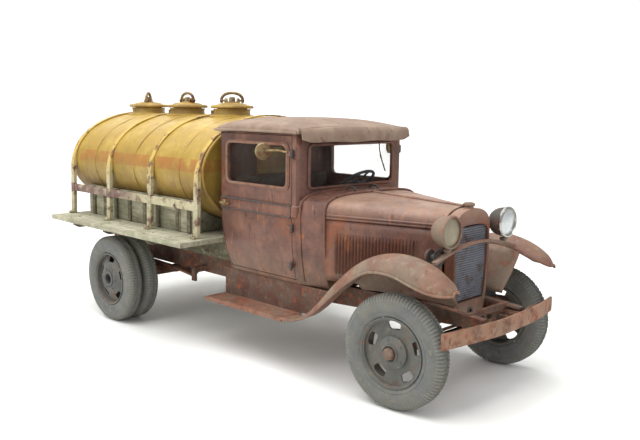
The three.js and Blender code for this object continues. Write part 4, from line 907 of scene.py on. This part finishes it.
for hand, side in SIDES:
    rings = []
    for s in spread(HOOD_REAR, HOOD_FRONT, 24):
        crown = lerp(88.8, 86.9, hood_share(s))
        power = lerp(4, 2.3, hood_share(s))
        line = []
        for inset in (0, 0.8):
            w = hood_w(s) - inset
            stop = acos((HINGE_GAP / w) ** (power / 2))
            arc = superellipse(w, hood_split(s), crown - inset, power, 26, 0, stop)
            line.append([(max(x, HINGE_GAP), z) for x, z in arc])
        dent = 0.2 * noise.noise(Vector((s * 0.08, side * 3, 1)))
        rings.append([P(side * x, s, z + dent * (z - 77) / 10) for x, z in line[0] + line[1][::-1]])
    Shape().rings(rings).object(f"hood_panel_{hand}", hood_paint, f"hood_{hand}", [f"hood_top_{hand}"], angle=40)
    ridge = Shape()
    for lift in (0.45, 1.9):
        ridge.tube([P(side * (hood_w(s) + 0.1 - lift * 0.05), s, hood_split(s) + lift)
                    for s in spread(158.4, 212.2, 12)], 0.55, 10)
    ridge.object(f"hood_ridge_{hand}", hood_paint, f"hood_{hand}")
    low, high = node_box(f"hood_side_{hand}")
    rings = []
    for s in spread(HOOD_REAR, HOOD_FRONT, 16):
        rings.append([P(side * (hood_w(s) + 0.1 * noise.noise(Vector((s * 0.1, z * 0.1, side)))), s, z)
                      for z in spread(low.z, hood_split(s) - 0.35, 10)])
    skin = Shape().rings(rings, closed=False, caps=False)
    skin.object(f"hood_side_skin_{hand}", hood_paint, hides=[f"hood_side_{hand}"], thick=0.7)
    # Louvres: half-round scoops that open to the rear.
    louvres = Shape()
    for k in range(25):
        s = 163.5 + k * 1.56
        rings = []
        for z in spread(51.5, 71.5, 12):
            end = min(1, (z - 51.3) / 1.4, (71.7 - z) / 1.4)
            rings.append([P(side * (hood_w(s + d) + h * max(end, 0.05)), s + d, z)
                          for d, h in ((-0.56, -0.1), (-0.54, 0.6), (-0.3, 1.1), (0.2, 0.75), (0.6, -0.1))])
        louvres.rings(rings)
    louvres.object(f"hood_louvres_{hand}", hood_paint, angle=50)
    latch = Shape()
    for s in (166, 198):
        x = side * (hood_w(s) + 0.5)
        latch.block((x - 0.7, x + 0.7), (s + 1.2, s - 1.2), (48.2, 50.4))
    latch.object(f"hood_latches_{hand}", dark_paint, bevel=0.2)
hinge = [P(0, s, lerp(89, 87.1, (s - 155) / 57.2)) for s in spread(155, 212.4, 20)]
Shape().tube(hinge, 0.85, 12).object("hood_centre_hinge", hood_paint)
brackets = Shape()
for x in (-9, 9):
    brackets.tube([P(x, 147, 90), P(x, 148.5, 91.4), P(x, 152, 91.3), P(x, 153.4, 89.9)], 0.6, 8)
brackets.object("cowl_brackets", dark_paint)

# ---- radiator
SHELL_BACK, SHELL_FRONT = 212.9, 218.6
CAP_S = 215.6


def shell_line(inset):
    arch = superellipse(14.6 - inset, 76.5, 86.5 - inset, 2.35, 30)
    foot = 32.6 + inset
    right = [(8, foot), (10.8 - inset, foot + 2.6), (12.4 - inset, foot + 7), (13.8 - inset, foot + 14)]
    return right + arch + [(-x, z) for x, z in reversed(right)]


def grille_line(grow):
    arch = superellipse(12.9 + grow, 73.5, 78.9 + grow, 3.2, 30)
    right = [(10.6 + grow, 43 - grow), (11.4 + grow, 46), (12.3 + grow, 52), (12.8 + grow, 60)]
    return right + arch + [(-x, z) for x, z in reversed(right)]


# The outline goes forward round the outside, and back through the grille's opening.
outside = ((0.7, SHELL_BACK), (0.1, 212.95), (0, 213.5), (0, 217.7), (0.15, 218.3), (0.8, SHELL_FRONT))
opening = ((0.8, SHELL_FRONT), (0, 218.2), (0, 213.2), (0.4, SHELL_BACK))
rings = [[P(x, s, z) for x, z in shell_line(inset)] for inset, s in outside]
rings += [[P(x, s, z) for x, z in grille_line(grow)] for grow, s in opening]
shell = Shape().rings(rings, wrap=True)
shell.turn([(0, 84.5), (2.6, 84.5), (2.3, 86), (2.2, 87), (0, 87)], P(0, CAP_S, 0), UP, 30)
shell.object("radiator_shell_skin", hood_paint, hides=["radiator_shell"])
crank = Shape().turn([(1, 0), (1.9, 0), (1.9, 0.5), (1, 0.5)], P(0, 218.4, 38), FORWARD, 24, closed=True)
crank.turn([(0, 0), (1.1, 0.05), (1.1, 0.1), (0, 0.1)], P(0, 218.5, 38), FORWARD, 24)
crank.object("crank_hole", dark_paint)
core = Shape().block((-12.2, 12.2), (CAP_S, 214), (43.6, 78))
core.object("core_back", inside_paint, hides=["radiator_core"])
fins = Shape()


def core_half(z):
    return lerp(11, 12.6, min(1, max(0, (z - 43.6) / 12)))


for k in range(31):
    z = 44.1 + k * 1.1
    fins.block((-core_half(z), core_half(z)), (217.5, 215.4), (z, z + 0.28))
for k in range(27):
    x = -12.4 + k * 24.8 / 26
    bottom = 43.8 if abs(x) < 11 else 52
    fins.block((x - 0.24, x + 0.24), (217, 215.4), (bottom, 77.9))
fins.object("radiator_fins", core_paint, angle=20)
cap = Shape().turn([(0, 87.3), (2.3, 87.3), (2.6, 87.7), (2.65, 88.3), (2.4, 88.8), (1.5, 89.1), (0, 89.2)],
                   P(0, CAP_S, 0), UP, 40)
for k in range(8):
    a = TAU * k / 8
    cap.bolt(P(2.4 * cos(a), CAP_S + 2.4 * sin(a), 87.4), UP, 0.45, 1.1, 8)
cap.object("radiator_cap_skin", fender_paint, "radiator_cap", ["radiator_cap"])

# ---- fenders and running boards
# A front fender along its length: the heights of its crown and of its lip, and where its two edges are.
CROWN = [[142, 27.9], [147, 28.2], [152, 29.9], [158, 33.6], [166, 41.6], [175, 51.6], [185, 60.6], [196, 66.6],
         [208, 69.2], [220, 68], [228, 65.2], [234, 61.4], [238, 57.2]]
LIP = [[142, 27.9], [150, 28.6], [156, 30.6], [163, 34.2], [176, 45.4], [187, 54.4], [196, 59.6], [203, 61.2],
       [212, 60.8], [220, 58.6], [228, 56.4], [234, 55.6], [238, 55.6]]
OUTER = [[142, 49.8], [160, 50.4], [205, 50.6], [224, 50], [231, 48.6], [235, 46.6], [238, 43]]
INNER = [[142, 37.7], [160, 37.7], [170, 36.4], [182, 34], [205, 33.4], [224, 33.4], [231, 34.6], [235, 36.2],
         [238, 39]]


def fender_fall(s):
    """How far the fender's inner edge lies below its crown."""
    return min(1, max(0, (s - 158) / 30)) * 4.6


for hand, side in SIDES:
    rings = []
    for s in spread(142, 238, 80):
        crown, lip, outer, inner = (table(t, s) for t in (CROWN, LIP, OUTER, INNER))
        peak = lerp(outer, inner, 0.5)
        fall = fender_fall(s) * min(1, (239 - s) / 8)
        line = [(lerp(peak, outer, cos(i / 12 * pi / 2)), lerp(lip, crown, sin(i / 12 * pi / 2) ** 0.9))
                for i in range(13)]
        line += [(lerp(peak, inner, i / 6), crown - fall * (i / 6) ** 2) for i in range(1, 7)]
        dent = 0.3 * noise.noise(Vector((s * 0.06, side * 2, 0)))
        rings.append([P(side * x, s, z + dent) for x, z in line])
    top = Shape().rings(rings, closed=False, caps=False)
    top.object(f"fender_top_{hand}", fender_paint, hides=[f"front_fender_{hand}"], thick=0.8, angle=50)
    bead = Shape().tube([ring[0] + Vector((0, 0, 0.1)) for ring in rings], 0.6, 8)
    bead.tube(rings[-1], 0.55, 8).object(f"fender_bead_{hand}", fender_paint)
    rings = []
    for s in spread(177.5, 224, 30):
        crown, inner = table(CROWN, s), table(INNER, s)
        edge = crown - fender_fall(s)
        foot = max(hood_w(min(s, HOOD_FRONT)) + 1.3, 19)
        line = [(inner, edge)]
        for k in range(1, 8):
            t = k / 7
            line.append((lerp(inner, foot, t) + 0.5 * sin(pi * t), lerp(edge, 46.4, t ** 0.9)))
        line.append((18.4, 44.4))
        rings.append([P(side * x, s, z) for x, z in line])
    inner_panel = Shape().rings(rings, closed=False, caps=False)
    inner_panel.object(f"fender_inner_{hand}", fender_paint, thick=0.7, angle=40)

    board = Shape().block((side * 35.7, side * 49.8), (142, 80.4), (27, 28))
    board.block((side * 49.2, side * 50), (142, 80.4), (26, 28.1))
    for k in range(10):  # treads
        x = side * (38 + k * 1.12)
        board.block((x - 0.25, x + 0.25), (141, 82), (27.9, 28.3))
    board.object(f"running_board_skin_{hand}", board_paint, hides=[f"running_board_{hand}"], bevel=0.15)
    line = [(141.5, 28), (148, 28.6), (152, 30.6), (157, 34), (164, 41.6), (164, 42.6), (141.5, 42.6)]
    apron = Shape().rings([[P(side * x, s, z) for s, z in line] for x in (35.2, 36)])
    apron.block((side * 35.2, side * 36), (141.5, 81), (27.2, 42.6))
    apron.object(f"splash_apron_{hand}", apron_shaded_paint, bevel=0.15)

# ---- lamps and horn
refined("headlamp_bar", fender_paint, "chassis", 0.2)
lens_glass = make_plain("lens_glass", (214, 218, 220), 0.12, metal=0.55, seed=1.7, bump=0.35, dusty=0.1)
dull_lens = make_plain("dull_lens", (150, 140, 118), 0.4, metal=0.4, seed=8.8, bump=0.3, dusty=0.5)
for hand, side in SIDES:
    # The left lamp is the brighter one.
    left_look, right_look = (dark_paint, chrome, lens_glass), (fender_paint, fender_paint, dull_lens)
    bucket_paint, rim_finish, glass = left_look if side > 0 else right_look
    centre = P(side * 23.3, 213.2, 78.2)
    bucket = Shape().turn([(0, 0), (1.5, 0.05), (3, 0.5), (4.6, 1.5), (5.8, 2.9), (6.6, 4.8), (7, 7), (7.1, 8.8),
                           (6.6, 8.8), (6, 6), (4.6, 3.8), (0, 2.4)], centre, FORWARD, 64)
    bucket.object(f"headlamp_skin_{hand}", bucket_paint, hides=[f"headlamp_bucket_{hand}"])
    rim = Shape().turn([(6.5, 8.4), (7.2, 8.3), (7.55, 8.8), (7.6, 9.5), (7.2, 10.1), (6.6, 10.2), (6.4, 9.8)],
                       centre, FORWARD, 64, closed=True)
    rim.object(f"headlamp_rim_{hand}", rim_finish)
    lens = Shape().turn([(0, 10), (2, 9.95), (4, 9.75), (5.6, 9.4), (6.6, 9), (6.6, 8.6), (0, 8.6)],
                        centre, FORWARD, 64)
    lens.object(f"headlamp_lens_skin_{hand}", glass, hides=[f"headlamp_lens_{hand}"])
    nut = Shape().bolt(P(side * 23.3, 220.6, 69.6), UP, 2, 1)
    nut.object(f"headlamp_nut_{hand}", fender_paint)
horn = Shape().turn([(0, 0), (3.1, 0.1), (3.4, 0.5), (3.4, 1.6), (2.6, 2.1), (1.4, 2.3), (1.4, 3.2), (2, 4.2),
                     (3.2, 5.2), (4.2, 5.8), (4.3, 6.1), (4, 6), (3, 5.3), (1.6, 4.3), (0, 3.9)],
                    P(-27.4, 213.2, 66.9), FORWARD, 48)
horn.object("horn_skin", dark_paint, hides=["horn"])

# ---- camera, light and floor
scene = bpy.context.scene
FOCAL_LENGTH, DISTANCE, ROLL = 42.52, 0.379, 0.01287  # millimetres, metres, radians
camera_data = bpy.data.cameras.new("camera")
camera_data.lens = FOCAL_LENGTH
camera_data.sensor_width = 36
camera_data.clip_start = 0.01
camera_data.clip_end = 20
camera = bpy.data.objects.new("camera", camera_data)
scene.collection.objects.link(camera)
scene.camera = camera
back = Vector((-0.7078, -0.6909, 0.1476)).normalized()
target = P(-28.2, 146.9, 75.7) * MM
camera.location = target + back * DISTANCE
camera.rotation_mode = "QUATERNION"
camera.rotation_quaternion = (-back).to_track_quat("-Z", "Y") @ Matrix.Rotation(ROLL, 4, "Z").to_quaternion()

floor_mesh = bpy.data.meshes.new("floor")
turn_out = Matrix.Rotation(radians(-45), 3, "Z")
# The floor curves up into a backdrop behind the truck, in metres.
sweep = []
for y, z in [(-1.5, 0), (0.42, 0), (0.5, 0.006), (0.58, 0.03), (0.64, 0.08), (0.68, 0.2), (0.7, 2)]:
    sweep.append([turn_out @ Vector((x, y, z)) for x in (-3, 3)])
floor_mesh.from_pydata([p for row in sweep for p in row], [],
                       [(2 * i, 2 * i + 1, 2 * i + 3, 2 * i + 2) for i in range(len(sweep) - 1)])
floor_mesh.shade_smooth()
floor_paint = Paint("floor_paint", (240, 240, 238), rough=0.6, bump=0.02, bump_scale=200, seed=0.3)
floor_paint.colour = floor_paint.mix((238, 238, 236), (243, 243, 240), floor_paint.noise(6))
floor_mesh.materials.append(floor_paint.done())
floor = bpy.data.objects.new("floor", floor_mesh)
scene.collection.objects.link(floor)
floor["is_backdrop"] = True


def area_light(name, location, aim, size, power, colour=(1, 1, 1)):
    """A soft square light. size is in metres and power in watts."""
    data = bpy.data.lights.new(name, "AREA")
    data.size = size
    data.energy = power
    data.color = colour
    obj = bpy.data.objects.new(name, data)
    scene.collection.objects.link(obj)
    obj.location = location
    obj.rotation_mode = "QUATERNION"
    obj.rotation_quaternion = (Vector(aim) - Vector(location)).to_track_quat("-Z", "Y")


area_light("overhead", (-0.2, 0.1, 0.95), (0, 0, 0.05), 1, 14.5)
area_light("left_fill", (-0.85, 0.1, 0.45), (0, 0, 0.07), 0.6, 2.6, (1, 1, 0.98))
area_light("front_fill", (0.1, -0.9, 0.4), (0, 0, 0.07), 0.6, 1.6, (0.98, 0.99, 1))
world = bpy.data.worlds.new("world")
world.use_nodes = True
world.node_tree.nodes["Background"].inputs[0].default_value = (0.93, 0.94, 0.95, 1)
world.node_tree.nodes["Background"].inputs[1].default_value = 0.5
scene.world = world
scene.view_settings.view_transform = "Standard"

low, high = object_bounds()
